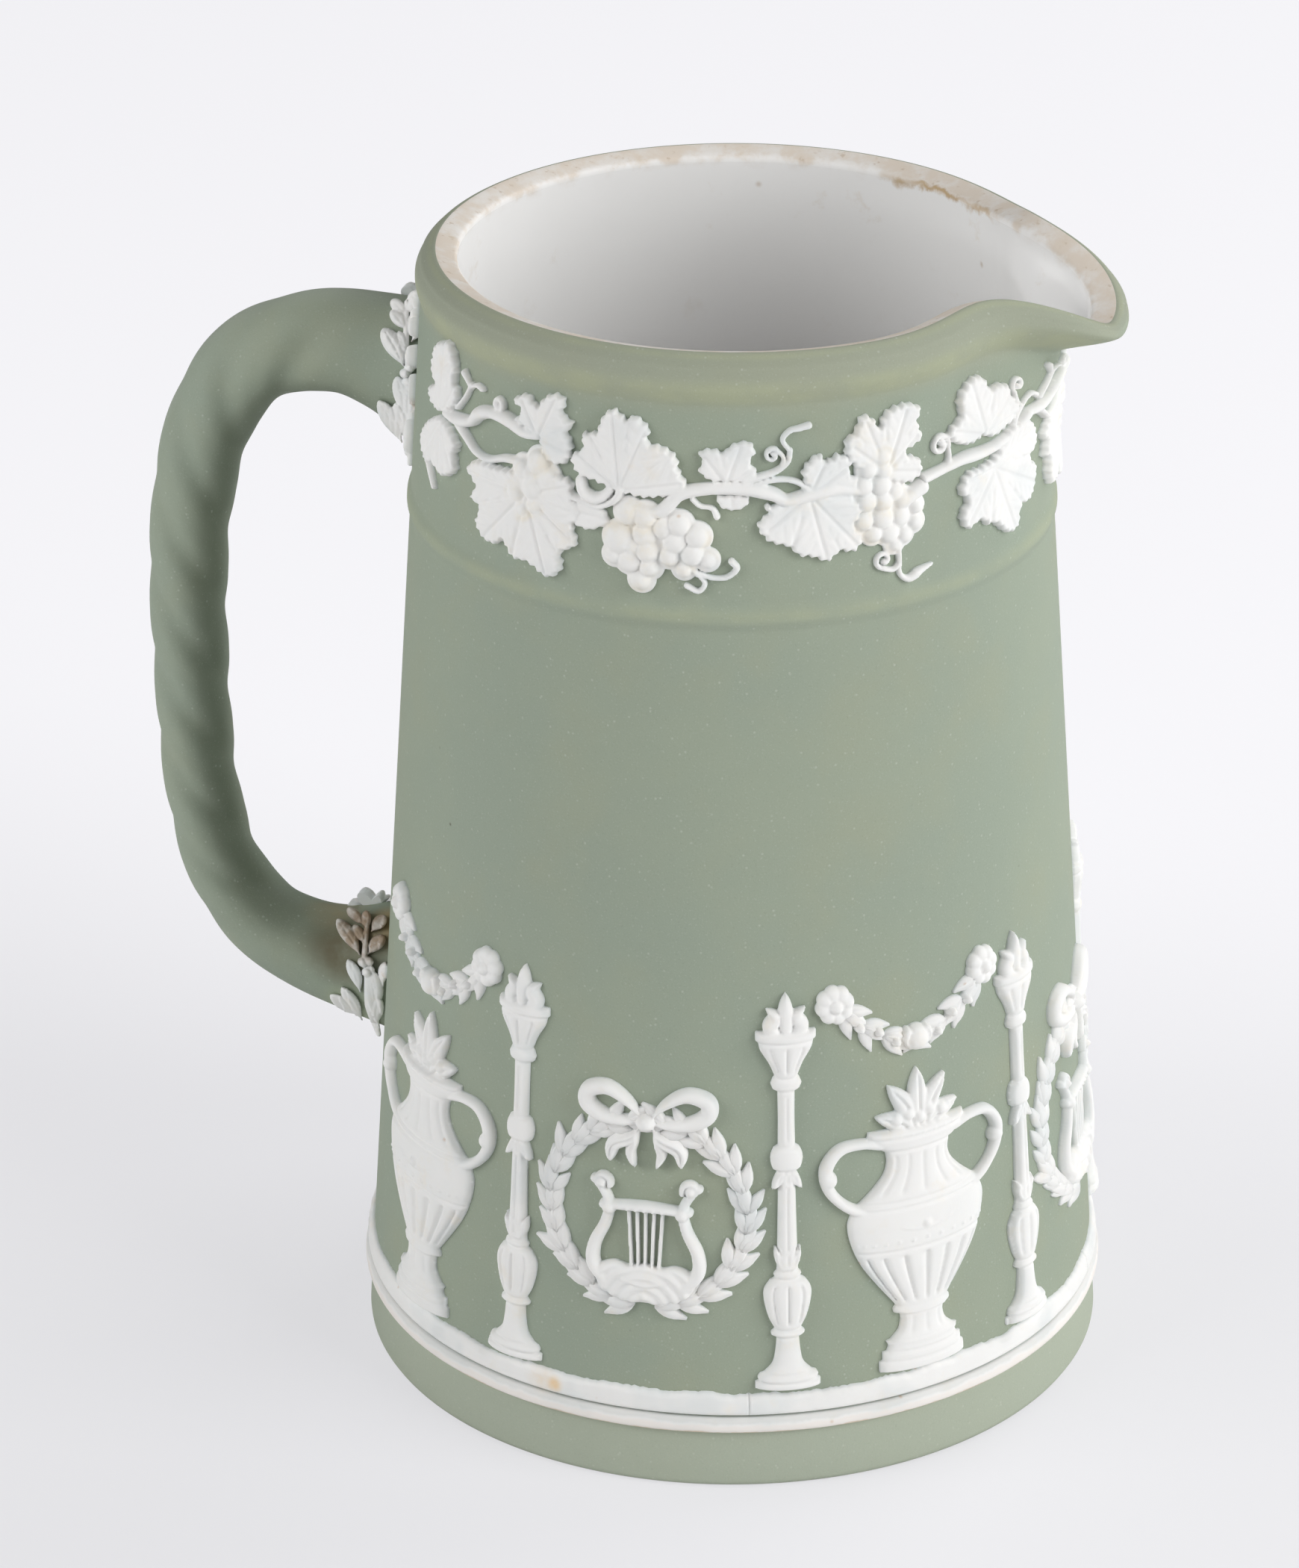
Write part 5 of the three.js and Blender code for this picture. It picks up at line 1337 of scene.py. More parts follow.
# %% The four lengths of ground
GROUND_LOW, GROUND_HIGH, GROUND_RELIEF = 11.72, 15.3, 0.9
GROUND_ENDS = (-180.0, -72.0, 0.0, 81.0, 180.0)
GROUND_SEAM = 0.0004
TORN_BUMPS, TORN_CRUMBS = 110, 900
TORN = np.random.default_rng(31).uniform(-1, 1, (2, TORN_CRUMBS))


def torn(angle):
    """A torn edge: bumps of some 3 mm with crumbs of 0.4 mm on them."""
    share = (angle / (2 * math.pi)) % 1
    edge = 0.0
    for depth, count, draw in ((0.24, TORN_BUMPS, TORN[0]), (0.15, TORN_CRUMBS, TORN[1])):
        edge += depth * np.interp(share * count, np.arange(count + 1), np.append(draw[:count], draw[0]))
    return edge


def ground_section(angle):
    top = GROUND_HIGH - 0.5 + 0.3 * waver(angle, 0.0) + torn(angle)
    rough = 0.1 * math.sin(61 * angle) * math.sin(37 * angle + 1)
    middle = (GROUND_LOW + top) / 2
    return [(-0.5, GROUND_LOW), (0.6, GROUND_LOW), (0.8, GROUND_LOW + 0.15),
            (GROUND_RELIEF, GROUND_LOW + 0.55), (0.86 + rough, GROUND_LOW + 1.1), (0.82 - rough, middle),
            (0.78 + rough, middle + 0.6), (0.74, top - 0.7), (0.52, top - 0.3), (0.24, top), (-0.5, top)]


for number, (start, end) in enumerate(zip(GROUND_ENDS, GROUND_ENDS[1:]), 1):
    start, end = math.radians(start) + GROUND_SEAM, math.radians(end) - GROUND_SEAM
    angles = np.linspace(start, end, round((end - start) / STRIP_STEP) + 1)
    strip = swept_ring(f"ground_strip_{number}_clay", ground_section, angles, white, False)
    settle(strip, "white_relief", f"ground_strip_{number}")

# %% [markdown]
# ## The frieze
#
# Round the lower wall stand urns under laurel swags, lyres inside tied wreaths, and slim
# candelabra between them. Each kind came out of one mould and was stuck on several times,
# so each mould is carved once here and cast at each of its places. An urn or a candelabrum
# is turned work seen from the front: a profile gives its half width at each height, and its
# surface is half of a flattened round. Beads, flutes and mouldings are carved into that.

# %% Turned work in low relief


def turned_work(mould, runs, depth, flutes=(), grooves=()):
    """Half-round relief from a profile, given in runs of (half width, height) points.

    Flutes are (low, high, count, depth); grooves are heights of fine turned lines.
    """
    profile = np.vstack([smooth_line(run, 6) for run in runs])
    heights = np.maximum.accumulate(profile[:, 1] + np.arange(len(profile)) * 1e-6)
    outline = np.vstack([profile, profile[::-1] * [-1, 1]])
    where, gx, gz = mould.window(outline, 0.8)
    inside, _, _ = outline_distance(gx, gz, outline)
    half = np.interp(gz, heights, profile[:, 0])
    widest = profile[:, 0].max()
    across = np.clip(gx / np.maximum(half, 0.2), -1, 1)
    tall = depth * (half / widest) ** 0.45
    height = tall * np.sqrt(np.clip(1 - across ** 2, 0, None))
    for low, high, count, cut in flutes:
        wave = np.abs(np.sin(np.arcsin(across) * count))
        on = smooth_step(gz, low, low + 0.8) * smooth_step(gz, high, high - 0.8)
        height = height - cut * on * (1 - wave) ** 2 * (tall / depth)
    for level in grooves:
        height = height - 0.28 * np.exp(-((gz - level) / 0.22) ** 2)
    height = np.maximum(height, 0.08) * rounded(inside, 0.5)
    mould.press(where, inside, CLAY_EDGE + height)


def beads(mould, half_width, level, count, radius, base, tall):
    """A row of beads round turned work: closer together towards its edges."""
    for turn in np.linspace(-1.25, 1.25, count):
        x = half_width * math.sin(turn)
        ball(mould, x, level, radius * (0.55 + 0.45 * math.cos(turn)), base * math.cos(turn) + tall)


def both_sides(points):
    return [points, [(-x, z) for x, z in points]]


# %% The urn
URN_RUNS = [
    [(6.6, 0.0), (6.6, 1.6)], [(6.1, 1.7), (6.1, 3.0)], [(5.5, 3.1), (5.2, 3.9), (5.6, 4.6)],
    [(4.9, 4.8), (3.7, 6.0), (3.3, 7.4), (3.4, 8.6)], [(4.3, 8.8), (4.4, 9.4), (4.0, 9.9)],
    [(4.2, 10.2), (6.6, 13.4), (9.0, 17.0), (10.4, 20.4), (10.9, 23.4), (10.3, 25.4)],
    [(9.9, 25.6), (9.7, 26.4)], [(9.2, 26.6), (7.2, 28.3), (5.5, 30.2), (4.9, 32.0), (5.1, 33.6)],
    [(5.9, 34.1), (6.9, 35.1), (7.7, 36.1), (7.7, 37.0)],
]


def urn_mould():
    mould = Mould(-15.5, 15.5, -0.6, 47.0)
    leaves = [(-62, 7.4), (-31, 8.8), (0, 9.3), (31, 8.8), (62, 7.4)]
    for lean, length in sorted(leaves, key=lambda leaf: -abs(leaf[0])):
        turn = math.radians(lean)
        tip = (length * math.sin(turn), 35.4 + length * math.cos(turn) * 1.06)
        middle = (tip[0] * 0.42, 35.6 + (tip[1] - 35.6) * 0.55)
        blade(mould, [(lean * 0.02, 35.6), middle, tip], 3.1, 1.35, 0.5)
    for x, z in [(-3.6, 38.4), (3.6, 38.4), (-1.7, 38.9), (1.7, 38.9), (0, 38.2)]:
        ball(mould, x, z, 1.05, 1.7)
    for points in both_sides([(6.4, 24.6), (10.6, 26.2), (13.4, 29.2), (13.9, 32.6), (12.0, 35.2),
                              (8.8, 35.6),
                              (6.0, 34.9)]):
        strand(mould, points, [1.7, 1.5, 1.9, 1.5, 1.4], 1.6)
    for side in (-1, 1):
        ball(mould, side * 13.6, 31.0, 1.25, 1.75)
        ball(mould, side * 7.0, 24.6, 1.5, 1.9)
    turned_work(mould, URN_RUNS, 2.2, flutes=[(10.4, 18.6, 9, 0.75), (27.2, 33.6, 7, 0.4),
                                              (5.2, 8.6, 5, 0.35)],
                grooves=[1.65, 3.05, 19.2, 25.5, 26.5, 33.9, 35.9])
    beads(mould, 10.2, 20.5, 13, 0.72, 2.2, 0.55)
    beads(mould, 7.2, 36.4, 11, 0.55, 1.9, 0.5)
    for points in both_sides([(0.0, 22.0), (2.4, 22.3), (4.8, 23.2), (7.0, 24.6)]):
        strand(mould, points, [1.2, 1.1, 0.7], 2.75)
    ball(mould, 0, 22.6, 1.35, 3.0)
    return mould


# %% The candelabrum
CANDELABRUM_RUNS = [
    [(4.4, 0.0), (4.4, 1.1)], [(3.9, 1.2), (4.1, 1.7), (3.8, 2.3)], [(3.2, 2.5), (2.1, 3.8), (1.7, 5.6),
                                                                     (1.5, 7.8)],
    [(2.2, 8.1), (2.3, 8.6), (1.9, 9.0)], [(1.8, 9.2), (2.6, 10.9), (3.2, 13.4), (3.2, 15.2), (2.4, 16.6)],
    [(1.7, 17.0), (1.9, 17.5), (1.5, 18.0)], [(1.45, 18.4), (1.3, 25.0), (1.15, 33.0)],
    [(1.9, 33.4), (2.2, 34.4), (2.2, 35.6), (1.8, 36.6)], [(1.2, 37.0), (1.15, 41.0), (1.2, 45.0)],
    [(1.9, 45.4), (2.1, 46.2), (1.9, 47.0)], [(1.6, 47.3), (2.4, 49.2), (3.6, 51.2), (3.9, 52.4)],
    [(4.3, 52.7), (4.3, 54.0)],
]


def candelabrum_mould():
    mould = Mould(-5.6, 5.6, -0.6, 60.4)
    for lean, length in [(-25, 5.6), (25, 5.6), (0, 7.2)]:
        turn = math.radians(lean)
        x, z = length * math.sin(turn), length * math.cos(turn)
        points = [(0.02 * lean, 52.6), (0.9 * x, 52.4 + 0.42 * z), (0.62 * x, 52.4 + 0.72 * z),
                  (1.15 * x, 52.2 + z)]
        blade(mould, points, 2.3, 1.45, 0.0, 0.4)
    turned_work(mould, CANDELABRUM_RUNS, 1.75,
                flutes=[(9.8, 16.4, 5, 0.5), (18.6, 33.0, 3, 0.42), (37.4, 44.8, 3, 0.4),
                        (47.6, 52.2, 5, 0.4)],
                grooves=[1.15, 2.4, 8.05, 9.1, 16.9, 18.1, 33.3, 36.8, 45.3, 47.1, 52.55])
    for level, half in ((35.0, 2.0), (46.2, 1.9)):
        beads(mould, half, level, 5, 0.55, 1.2, 0.45)
    beads(mould, 4.0, 53.3, 9, 0.45, 1.4, 0.45)
    for lean in (-1, 0, 1):
        blade(mould, [(0.5 * lean, 18.0), (1.1 * lean, 19.8), (1.7 * lean, 21.6)], 1.3, 1.45, 0.4)
        blade(mould, [(0.6 * lean, 33.6), (1.2 * lean, 31.8), (2.0 * lean, 30.6)], 1.3, 1.45, 0.4)
    return mould


# %% The lyre and its bow
WREATH_CENTRE, WREATH_RADIUS = 26.0, 14.0


def lyre_mould():
    mould = Mould(-10.5, 10.5, 10.5, 46.0)
    shell = [(0.0, 12.6), (2.6, 12.5), (5.6, 13.6), (7.0, 15.6), (6.6, 17.4), (4.4, 18.4), (2.2, 18.0),
             (0.0, 18.4)]
    outline = smooth_outline([*shell, *[(-x, z) for x, z in shell[-2:0:-1]]])
    where, gx, gz = mould.window(outline, 0.8)
    inside, _, _ = outline_distance(gx, gz, outline)
    ribs = 0.16 * np.cos(2 * math.pi * np.hypot(gx, gz - 12.2) / 1.5)
    mould.press(where, inside, CLAY_EDGE + (1.1 + ribs) * rounded(inside, 1.1))
    for points in both_sides([(5.4, 15.4), (7.3, 17.6), (7.2, 20.6), (5.7, 24.0), (5.2, 27.2), (6.6, 29.8),
                              (7.4, 30.4)]):
        strand(mould, points, [1.9, 1.9, 1.6, 1.3, 1.2], 1.7)
    for side, start in ((1, 200), (-1, -20)):
        curled(mould, side * 6.3, 30.2, 1.3, start, -0.9 * side, 0.95, 1.5)
        ball(mould, side * 6.2, 30.2, 0.75, 1.8)
        ball(mould, side * 5.1, 26.6, 1.1, 1.9)
    for x in (-2.4, -1.2, 0.0, 1.2, 2.4):
        strand(mould, [(x * 0.75, 16.4), (x, 26.8)], [0.5, 0.5], 0.95)
        ball(mould, x, 27.0, 0.5, 1.75)
    strand(mould, [(-6.0, 26.8), (0, 27.2), (6.0, 26.8)], [1.3, 1.5, 1.3], 1.55)
    strand(mould, [(-3.0, 16.1), (0, 15.7), (3.0, 16.1)], [0.9, 1.1, 0.9], 1.9)
    ball(mould, 0, 13.9, 0.9, 1.8)
    return mould


def bow_mould():
    """The ribbon at the wreath's top: two loops, a knot and two fluttering ends."""
    mould = Mould(-10.5, 10.5, 30.0, 46.5)
    for points in both_sides([(0.5, 40.4), (2.6, 42.8), (5.6, 44.4), (8.4, 43.6), (8.6, 41.6), (6.2, 40.2),
                              (3.0, 39.9),
                              (0.6, 40.0)]):
        blade(mould, points, 2.5, 1.75, 0.0, 0.5)
    for points in both_sides([(0.7, 39.8), (2.0, 37.6), (4.6, 36.2), (5.0, 33.6)]):
        blade(mould, points, 2.2, 1.9, 0.35, 0.62)
    for points in both_sides([(0.8, 39.6), (1.6, 37.0), (2.2, 35.4), (1.5, 33.2)]):
        blade(mould, points, 1.5, 1.7, 0.3, 0.6)
    ball(mould, 0, 40.1, 1.5, 2.3, 0.85)
    return mould


# %% [markdown]
# The wreaths and swags repeat one laurel leaf many times along a line, which suits Geometry
# Nodes. The leaf is a small closed mesh. The tree spreads leaves along the line in threes,
# one ahead and one to each side, with a little chance in their size and lean. Bending them
# round the jug also happens in the tree: Set Position reads each point's place on the flat
# drawing and gives it back as an angle, a radius and a height.

# %% One laurel leaf
LAUREL_LENGTH, LAUREL_WIDTH, LAUREL_TOP = 4.9, 2.1, 1.15


def laurel_leaf():
    """A closed leaf lying along +X with its top towards -Y, in metres."""
    rows = np.linspace(0.0, 1.0, 7)
    half = LAUREL_WIDTH / 2 * np.maximum(np.sin(math.pi * rows ** 0.85), 0.1) ** 0.8
    tall = LAUREL_TOP * (0.45 + 0.55 * np.sin(math.pi * np.clip(rows + 0.12, 0, 1)))
    points, faces = [], []
    for x, w, h in zip(rows * LAUREL_LENGTH, half, tall):
        points += [(x, 0.5, -w), (x, -0.25, -w), (x, -h, -w * 0.5), (x, -0.74 * h, 0.0), (x, -h, w * 0.5),
                   (x, -0.25, w), (x, 0.5, w)]
    for row in range(len(rows) - 1):
        for k in range(7):
            a, b = row * 7 + k, row * 7 + (k + 1) % 7
            faces.append((a, b, b + 7, a + 7))
    faces += [tuple(range(6, -1, -1)), tuple(range(42, 49))]
    mesh = bpy.data.meshes.new("laurel_leaf")
    mesh.from_pydata((np.array(points) * MM).tolist(), [], faces)
    return new_object("laurel_leaf", mesh)


# %% Leaves along a line, bent round the wall
LEAF_PITCH, LEAF_SPREAD, LEAF_CHANCE = 2.9, 0.52, 0.16
# a seed for chance, the side to lean to, and a size
LEAF_ROWS = ((3, 0.0, 1.0), (7, 1.0, 0.92), (11, -1.0, 0.92))


def leaf_row_tree(leaf, material, gauge, foot):
    tree, start, end = new_tree("laurel_row")
    value_input(tree, "Leaf pitch", LEAF_PITCH * MM)
    value_input(tree, "Spread", LEAF_SPREAD)
    centre_id = value_input(tree, "Centre angle", 0.0)
    given = {socket.name: socket for socket in start.outputs}
    inputs = {"Curve": given["Geometry"], "Length": given["Leaf pitch"]}
    points = add(tree, "GeometryNodeCurveToPoints", inputs, mode="LENGTH")
    tangent = split(tree, points.outputs["Tangent"])
    heading = maths(tree, "ARCTAN2", tangent["Z"], tangent["X"])
    source = add(tree, "GeometryNodeObjectInfo", {"Object": leaf}).outputs["Geometry"]
    join = add(tree, "GeometryNodeJoinGeometry")
    for seed, side, size in LEAF_ROWS:
        inputs = {2: -LEAF_CHANCE, 3: LEAF_CHANCE, "Seed": seed}
        chance = add(tree, "FunctionNodeRandomValue", inputs, data_type="FLOAT").outputs[1]
        lean = plus(tree, times(tree, given["Spread"], side), chance)
        around = vector(tree, y=times(tree, plus(tree, heading, lean), -1.0))
        inputs = {
            "Points": points.outputs["Points"], "Instance": source,
            "Rotation": add(tree, "FunctionNodeEulerToRotation", {0: around}).outputs[0],
            "Scale": plus(tree, times(tree, chance, 0.5), size),
        }
        instances = add(tree, "GeometryNodeInstanceOnPoints", inputs)
        tree.links.new(instances.outputs[0], join.inputs[0])
    real = add(tree, "GeometryNodeRealizeInstances", {0: join.outputs[0]}).outputs[0]
    flat = split(tree, add(tree, "GeometryNodeInputPosition").outputs[0])
    lift = times(tree, flat["Y"], -1.0)
    height = plus(tree, flat["Z"], foot * MM)
    angle = plus(tree, given["Centre angle"], maths(tree, "DIVIDE", flat["X"], gauge * MM))
    wall = minus(tree, BASE_RADIUS * MM, times(tree, height, WALL_TAPER))
    radius = plus(tree, wall, lift)
    bent = vector(tree, times(tree, radius, maths(tree, "COSINE", angle)),
                  times(tree, radius, maths(tree, "SINE", angle)), height)
    noted = stored(tree, real, "lift", maths(tree, "DIVIDE", lift, MM))
    finished_with(tree, moved_to(tree, noted, bent), end, material)
    return tree, centre_id


# %% The lines of the wreath and the swag
FRIEZE_FOOT = 15.75
SWAG_HALF_SPAN, SWAG_TOP, SWAG_SAG = 12.3, 57.0, 7.0
frieze_gauge = wall_radius(FRIEZE_FOOT + WREATH_CENTRE)


def wreath_lines():
    """Two half rounds, both growing from the foot up to the bow."""
    turns = np.radians(np.linspace(-84, 78, 60))
    right = np.stack([WREATH_RADIUS * np.cos(turns), 0 * turns,
                      WREATH_CENTRE + WREATH_RADIUS * np.sin(turns)], axis=1)
    return [right * MM, right * [-MM, MM, MM]]


def swag_lines():
    """Both halves grow from a rosette down to the middle."""
    x = np.linspace(SWAG_HALF_SPAN - 1.0, 1.6, 30)
    right = np.stack([x, 0 * x, SWAG_TOP - SWAG_SAG * (1 - (x / SWAG_HALF_SPAN) ** 2)], axis=1)
    return [right * MM, right * [-MM, MM, MM]]


def rosette(mould, x, z, radius):
    """Eight petals round a button."""
    for petal in range(8):
        turn = petal * math.pi / 4 + 0.2
        reach = radius * 0.56
        ball(mould, x + reach * math.cos(turn), z + reach * math.sin(turn), radius * 0.42, 1.5)
    ball(mould, x, z, radius * 0.4, 2.1)


def swag_mould():
    mould = Mould(-16.0, 16.0, 45.5, 61.0)
    for side in (-1, 1):
        rosette(mould, side * SWAG_HALF_SPAN, SWAG_TOP, 2.95)
    for points in both_sides([(0.4, 50.0), (1.5, 51.2), (1.9, 50.0), (1.3, 48.8)]):
        strand(mould, points, [0.9, 1.2, 0.8], 1.7)
    ball(mould, 0, 50.0, 1.9, 2.2)
    for x in (3.4, 6.0, 8.8):
        for side in (-1, 1):
            level = SWAG_TOP - SWAG_SAG * (1 - (x / SWAG_HALF_SPAN) ** 2)
            ball(mould, side * x, level + (0.5 if x == 6.0 else -0.4), 0.75, 1.95)
    return mould


# %% Setting the frieze round the jug
urn_clay, candelabrum_clay = urn_mould(), candelabrum_mould()
lyre_clay, bow_clay, swag_clay = lyre_mould(), bow_mould(), swag_mould()
leaf = laurel_leaf()
row_tree, centre_id = leaf_row_tree(leaf, white, frieze_gauge, FRIEZE_FOOT)


def leafy(name, lines, centre):
    """Leaves along two lines, joined into one mesh."""
    rows = [grown(f"{name}_{k}", guide_curve("row", line), row_tree, [(centre_id, centre)])
            for k, line in enumerate(lines)]
    points, faces, lifts = [], [], []
    for row in rows:
        mesh = row.data
        base = sum(len(p) for p in points)
        place, lift = np.zeros(len(mesh.vertices) * 3), np.zeros(len(mesh.vertices))
        mesh.vertices.foreach_get("co", place)
        mesh.attributes["lift"].data.foreach_get("value", lift)
        points.append(place.reshape(-1, 3))
        lifts.append(lift)
        faces += [tuple(v + base for v in polygon.vertices) for polygon in mesh.polygons]
        bpy.data.objects.remove(row)
    piece = make_piece(name, np.vstack(points), faces, white)
    keep_on_points(piece.data, "lift", np.concatenate(lifts))
    return piece


def stick(mould, name, place, node):
    settle(cast(mould, name, place, white), "white_relief", node)


for slot in range(1, 8):
    centre = math.radians((slot - 4) * 44)
    place = round_the_wall(centre, FRIEZE_FOOT, frieze_gauge)
    if slot % 2:
        node = f"laurel_swag_{slot}"
        stick(urn_clay, f"urn_{slot}_clay", place, f"urn_{slot}")
        settle(leafy(f"laurel_swag_{slot}_leaves", swag_lines(), centre), "white_relief", node)
        stick(swag_clay, f"laurel_swag_{slot}_ends", place, node)
    else:
        node = f"lyre_wreath_{slot}"
        settle(leafy(f"wreath_{slot}_leaves", wreath_lines(), centre), "white_relief", node)
        stick(lyre_clay, f"lyre_{slot}_clay", place, node)
        stick(bow_clay, f"bow_{slot}_clay", place, node)
    if slot < 7:
        place = round_the_wall(centre + math.radians(22), FRIEZE_FOOT, frieze_gauge)
        stick(candelabrum_clay, f"candelabrum_{slot}_clay", place, f"candelabrum_{slot}")
bpy.data.objects.remove(leaf)

# %% [markdown]
# ## Sprays over the handle's joints
#
# Where the handle meets the wall, the potter hid the join under small sprays of laurel, two
# to a side at the top and two at the bottom. They lie on the side of the handle's spread
# end and reach over onto the wall. The same mould code makes them, with another way to bend
# the drawing: here x is the distance from the jug's axis, and a press comes down on a slant
# until it meets the handle, whose surface is found from its own rule. Where a leaf reaches
# past the handle, the slant would draw it out along the wall. So it is shortened there, and
# its clay stands straight off the wall.

# %% The side of the handle's joints
PRESS_PLANE = 8.8
PRESS_SLANT = {"top": (0.34, 0.42), "low": (0.35, 0.50)}
PRESS_FIRST, PRESS_LAST, PRESS_STEP = -14.0, 9.0, 0.5
PRESS_DEEPEST = 6.0
WALL_BEGINS, WALL_ALL = -1.0, -4.0
SHORT_FROM, SHORT_SHARE = -2.0, 0.1
NOT_MET = 99.0
SECTION_REACH = 66.0


def handle_sections():
    """For each step of the way: its place and direction, and its half sizes inward, outward and across."""
    sizes = HANDLE_SIZES
    passed = np.concatenate([[0], np.cumsum(np.hypot(*np.diff(way, axis=0).T))])
    left = passed[-1] - passed
    along = np.gradient(way, axis=0)
    along /= np.hypot(*along.T)[:, None]
    taper, throat = np.exp(-passed / sizes["Taper length"]), np.exp(-passed / sizes["Throat length"])
    top, foot = np.exp(-passed / sizes["Spread length"]), np.exp(-left / sizes["Spread length"])
    inner = sizes["Half thickness"] + sizes["Taper inside"] * taper + sizes["Throat"] * throat
    inner = inner + sizes["Foot inside"] * foot
    outer = sizes["Half thickness"] + sizes["Taper outside"] * taper + sizes["Foot outside"] * foot
    wide = sizes["Half width"] + sizes["Side flare"] * (top + foot)
    return list(zip(way, along, inner, outer, wide))


SECTIONS = [part for part in handle_sections() if part[0][0] < SECTION_REACH][::2]


def side_reach(reach, height):
    """How far the handle or the wall stands out sideways at a reach and a height; 0 past them."""
    side = np.sqrt(np.clip(wall_radius(height) ** 2 - reach ** 2, 0, None))
    for (x, z), (ax, az), inner, outer, wide in SECTIONS:
        dx, dz = reach - x, height - z
        inwards = dx * az - dz * ax
        middle, lean = (inner + outer) / 2, (inner - outer) / 2
        turn = 2 * inwards / (middle + np.sqrt(np.clip(middle ** 2 + 4 * lean * inwards, 0, None)))
        near_it = (np.abs(dx * ax + dz * az) < 1.3) & (np.abs(turn) < 1)
        side = np.where(near_it, np.maximum(side, wide * np.sqrt(np.clip(1 - turn ** 2, 0, None))), side)
    return side


def pressed_on(x, z, slant):
    """Where a slanting press meets the joint, or passes nearest to it: reach, side and height, and
    how far the place has gone over onto the wall."""
    lean_in, lean_down = slant

    def above(travel):
        return PRESS_PLANE - travel - side_reach(x + lean_in * travel, z - lean_down * travel)

    met, nearest, least = (np.full(np.shape(x), value) for value in (NOT_MET, 0.0, NOT_MET))
    for travel in np.arange(PRESS_FIRST, PRESS_LAST, PRESS_STEP):
        gap = above(travel)
        met = np.where((gap <= 0) & (met == NOT_MET), travel, met)
        nearest, least = np.where(gap < least, travel, nearest), np.minimum(gap, least)
    missed = met == NOT_MET
    high, low = np.where(missed, nearest, met), np.where(missed, nearest, met - PRESS_STEP)
    for _ in range(5):
        middle = (low + high) / 2
        inside = above(middle) <= 0
        high, low = np.where(inside, middle, high), np.where(inside, low, middle)
    travel = np.clip(np.where(missed, nearest, high), PRESS_FIRST, PRESS_DEEPEST)
    on_wall = smooth_step(travel, WALL_BEGINS, WALL_ALL)
    travel = np.where(travel < SHORT_FROM, SHORT_FROM + SHORT_SHARE * (travel - SHORT_FROM), travel)
    reach, away, height = x + lean_in * travel, PRESS_PLANE - travel, z - lean_down * travel
    sunk = np.maximum(wall_radius(height) / np.hypot(reach, away), 1)
    return reach * sunk, away * sunk, height, on_wall


def over_the_joint(kind, side):
    slant = PRESS_SLANT[kind.split("_")[0]]
    out = np.array([slant[0], -1.0, slant[1]])
    out = out / np.linalg.norm(out)

    def place(x, z, lift):
        reach, away, height, on_wall = pressed_on(x, z, slant)
        met = np.stack([-reach, -away, height], axis=-1)
        straight = met * (1, 1, 0) / np.hypot(reach, away)[:, None]
        lifted = out + (straight - out) * on_wall[:, None]
        lifted = lifted / np.linalg.norm(lifted, axis=1)[:, None]
        points = met + np.asarray(lift)[:, None] * lifted
        return points * (1, -side, 1) * MM
    return place


# %% [markdown]
# The leaves are narrow at the foot and broadest past the middle. Each line of a spray gives
# a leaf's foot and tip, as distance from the jug's axis and height, and its width. The
# hidden ones behind come first.

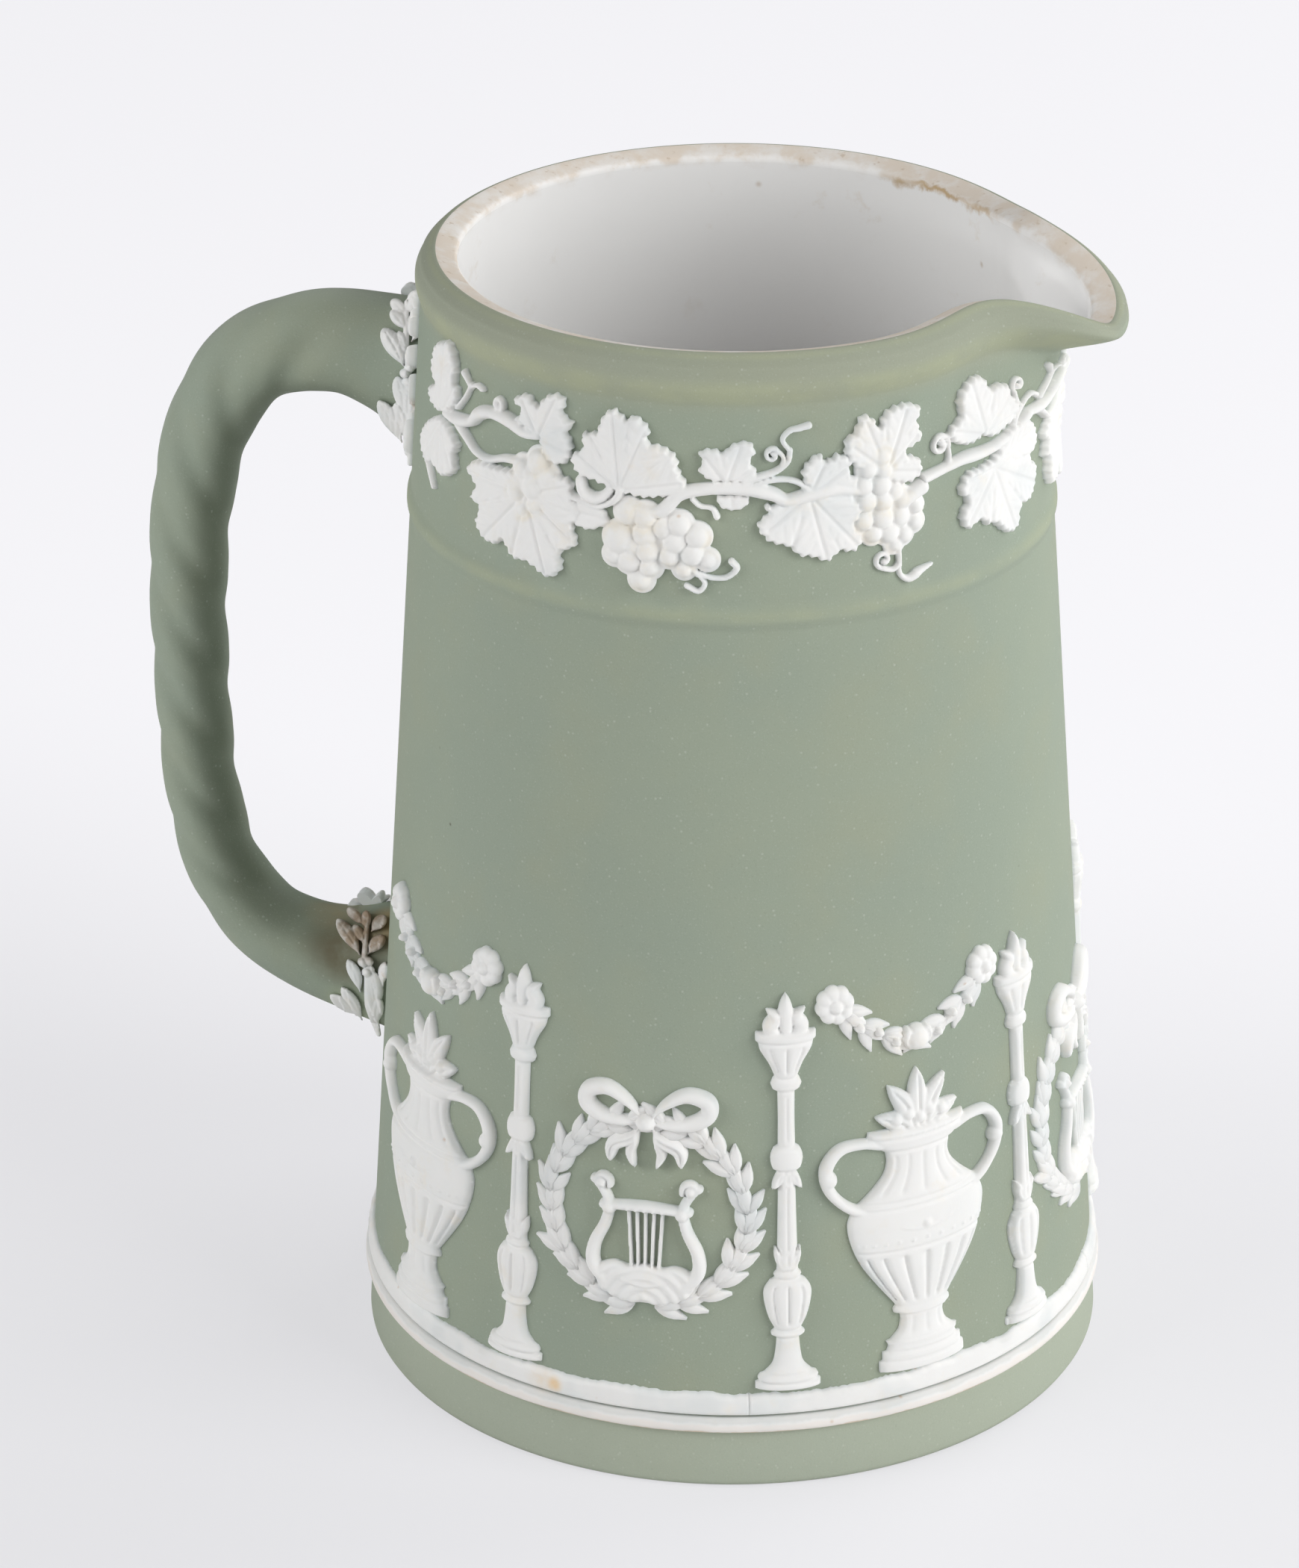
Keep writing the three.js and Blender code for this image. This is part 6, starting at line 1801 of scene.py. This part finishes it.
# %% Four small moulds
SPRAY_LEAVES = {
    "top_rising": [
        (43.9, 155.6, 41.4, 156.8, 1.4), (44.2, 153.6, 45.9, 155.2, 1.5), (44.0, 153.9, 41.5, 155.9, 1.7),
        (44.2, 151.3, 46.0, 153.7, 1.6), (43.8, 150.5, 41.5, 154.4, 1.6), (43.3, 149.5, 40.6, 153.2, 1.4),
        (44.5, 147.3, 45.1, 150.8, 1.2), (42.8, 145.6, 41.2, 149.0, 1.6), (44.6, 145.8, 47.3, 150.9, 2.3),
        (43.7, 145.5, 43.5, 148.3, 1.2),
    ],
    "top_falling": [
        (41.3, 140.5, 40.9, 144.9, 1.4), (44.7, 138.0, 45.5, 144.0, 2.0), (43.8, 136.3, 43.6, 144.2, 1.9),
        (44.7, 135.0, 45.9, 140.0, 1.6), (45.1, 134.3, 48.3, 140.1, 2.1), (43.7, 132.0, 43.7, 138.5, 1.7),
    ],
    "low_rising": [
        (51.7, 57.2, 49.5, 59.8, 1.4), (53.0, 58.1, 55.2, 60.3, 1.4), (52.4, 57.2, 52.3, 60.3, 1.2),
        (53.1, 55.2, 54.3, 57.7, 1.3), (52.3, 53.5, 49.8, 56.7, 1.5), (53.6, 53.2, 56.9, 58.3, 1.9),
    ],
    "low_falling": [
        (50.2, 48.6, 49.7, 52.5, 1.2), (53.7, 47.1, 55.4, 52.1, 1.6), (51.7, 44.0, 51.8, 50.8, 2.1),
        (51.4, 41.8, 50.8, 46.5, 1.7), (54.4, 42.9, 58.3, 45.8, 1.7), (53.6, 42.2, 56.5, 47.4, 1.7),
    ],
}
SPRAY_STEMS = {
    "top_rising": ([(43.9, 144.8), (44.1, 149.5), (43.9, 155.2)], [1.0, 0.7], [(43.7, 145.6), (44.4, 144.6)]),
    "top_falling": ([(43.8, 144.2), (43.9, 138.0), (43.7, 131.4)], [1.4, 1.8, 0.8], [(44.0, 143.4)]),
    "low_rising": ([(53.0, 51.6), (52.7, 55.0), (52.3, 58.8)], [1.0, 0.7], [(53.2, 52.0), (52.3, 52.3)]),
    "low_falling": ([(52.2, 51.0), (52.1, 45.0), (51.1, 40.2)], [1.6, 2.0, 0.8], [(52.6, 50.4)]),
}


def spray_mould(kind):
    leaves = np.array(SPRAY_LEAVES[kind])
    stem, widths, knots = SPRAY_STEMS[kind]
    places = np.vstack([leaves[:, :2], leaves[:, 2:4], stem])
    left, low = places.min(axis=0) - 2.0
    right, high = places.max(axis=0) + 2.0
    mould = Mould(left, right, low, high, 0.15)
    strand(mould, stem, widths, 1.2)
    for number, (x, z, tip_x, tip_z, width) in enumerate(leaves):
        bend = ((x + tip_x) / 2 + 0.12 * (tip_z - z) * (1 if x > tip_x else -1) * 0.4, (z + tip_z) / 2)
        blade(mould, [(x, z), bend, (tip_x, tip_z)], 1.3 * width, 1.1 + 0.08 * number, 0.16, 0.62)
    for x, z in knots:
        ball(mould, x, z, 0.78, 1.9)
    return mould


# %% Setting the eight sprays
for kind in SPRAY_LEAVES:
    for word, side in (("right", -1), ("left", 1)):
        node = f"{kind}_{word}_spray"
        spray = cast(spray_mould(kind), node + "_clay", over_the_joint(kind, side), white)
        if side < 0:
            spray.data.flip_normals()
        settle(spray, "white_relief", node)
        low, high = (np.round(np.array(corner) / MM, 1).tolist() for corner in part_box(node))
        print("  measured", low, high)
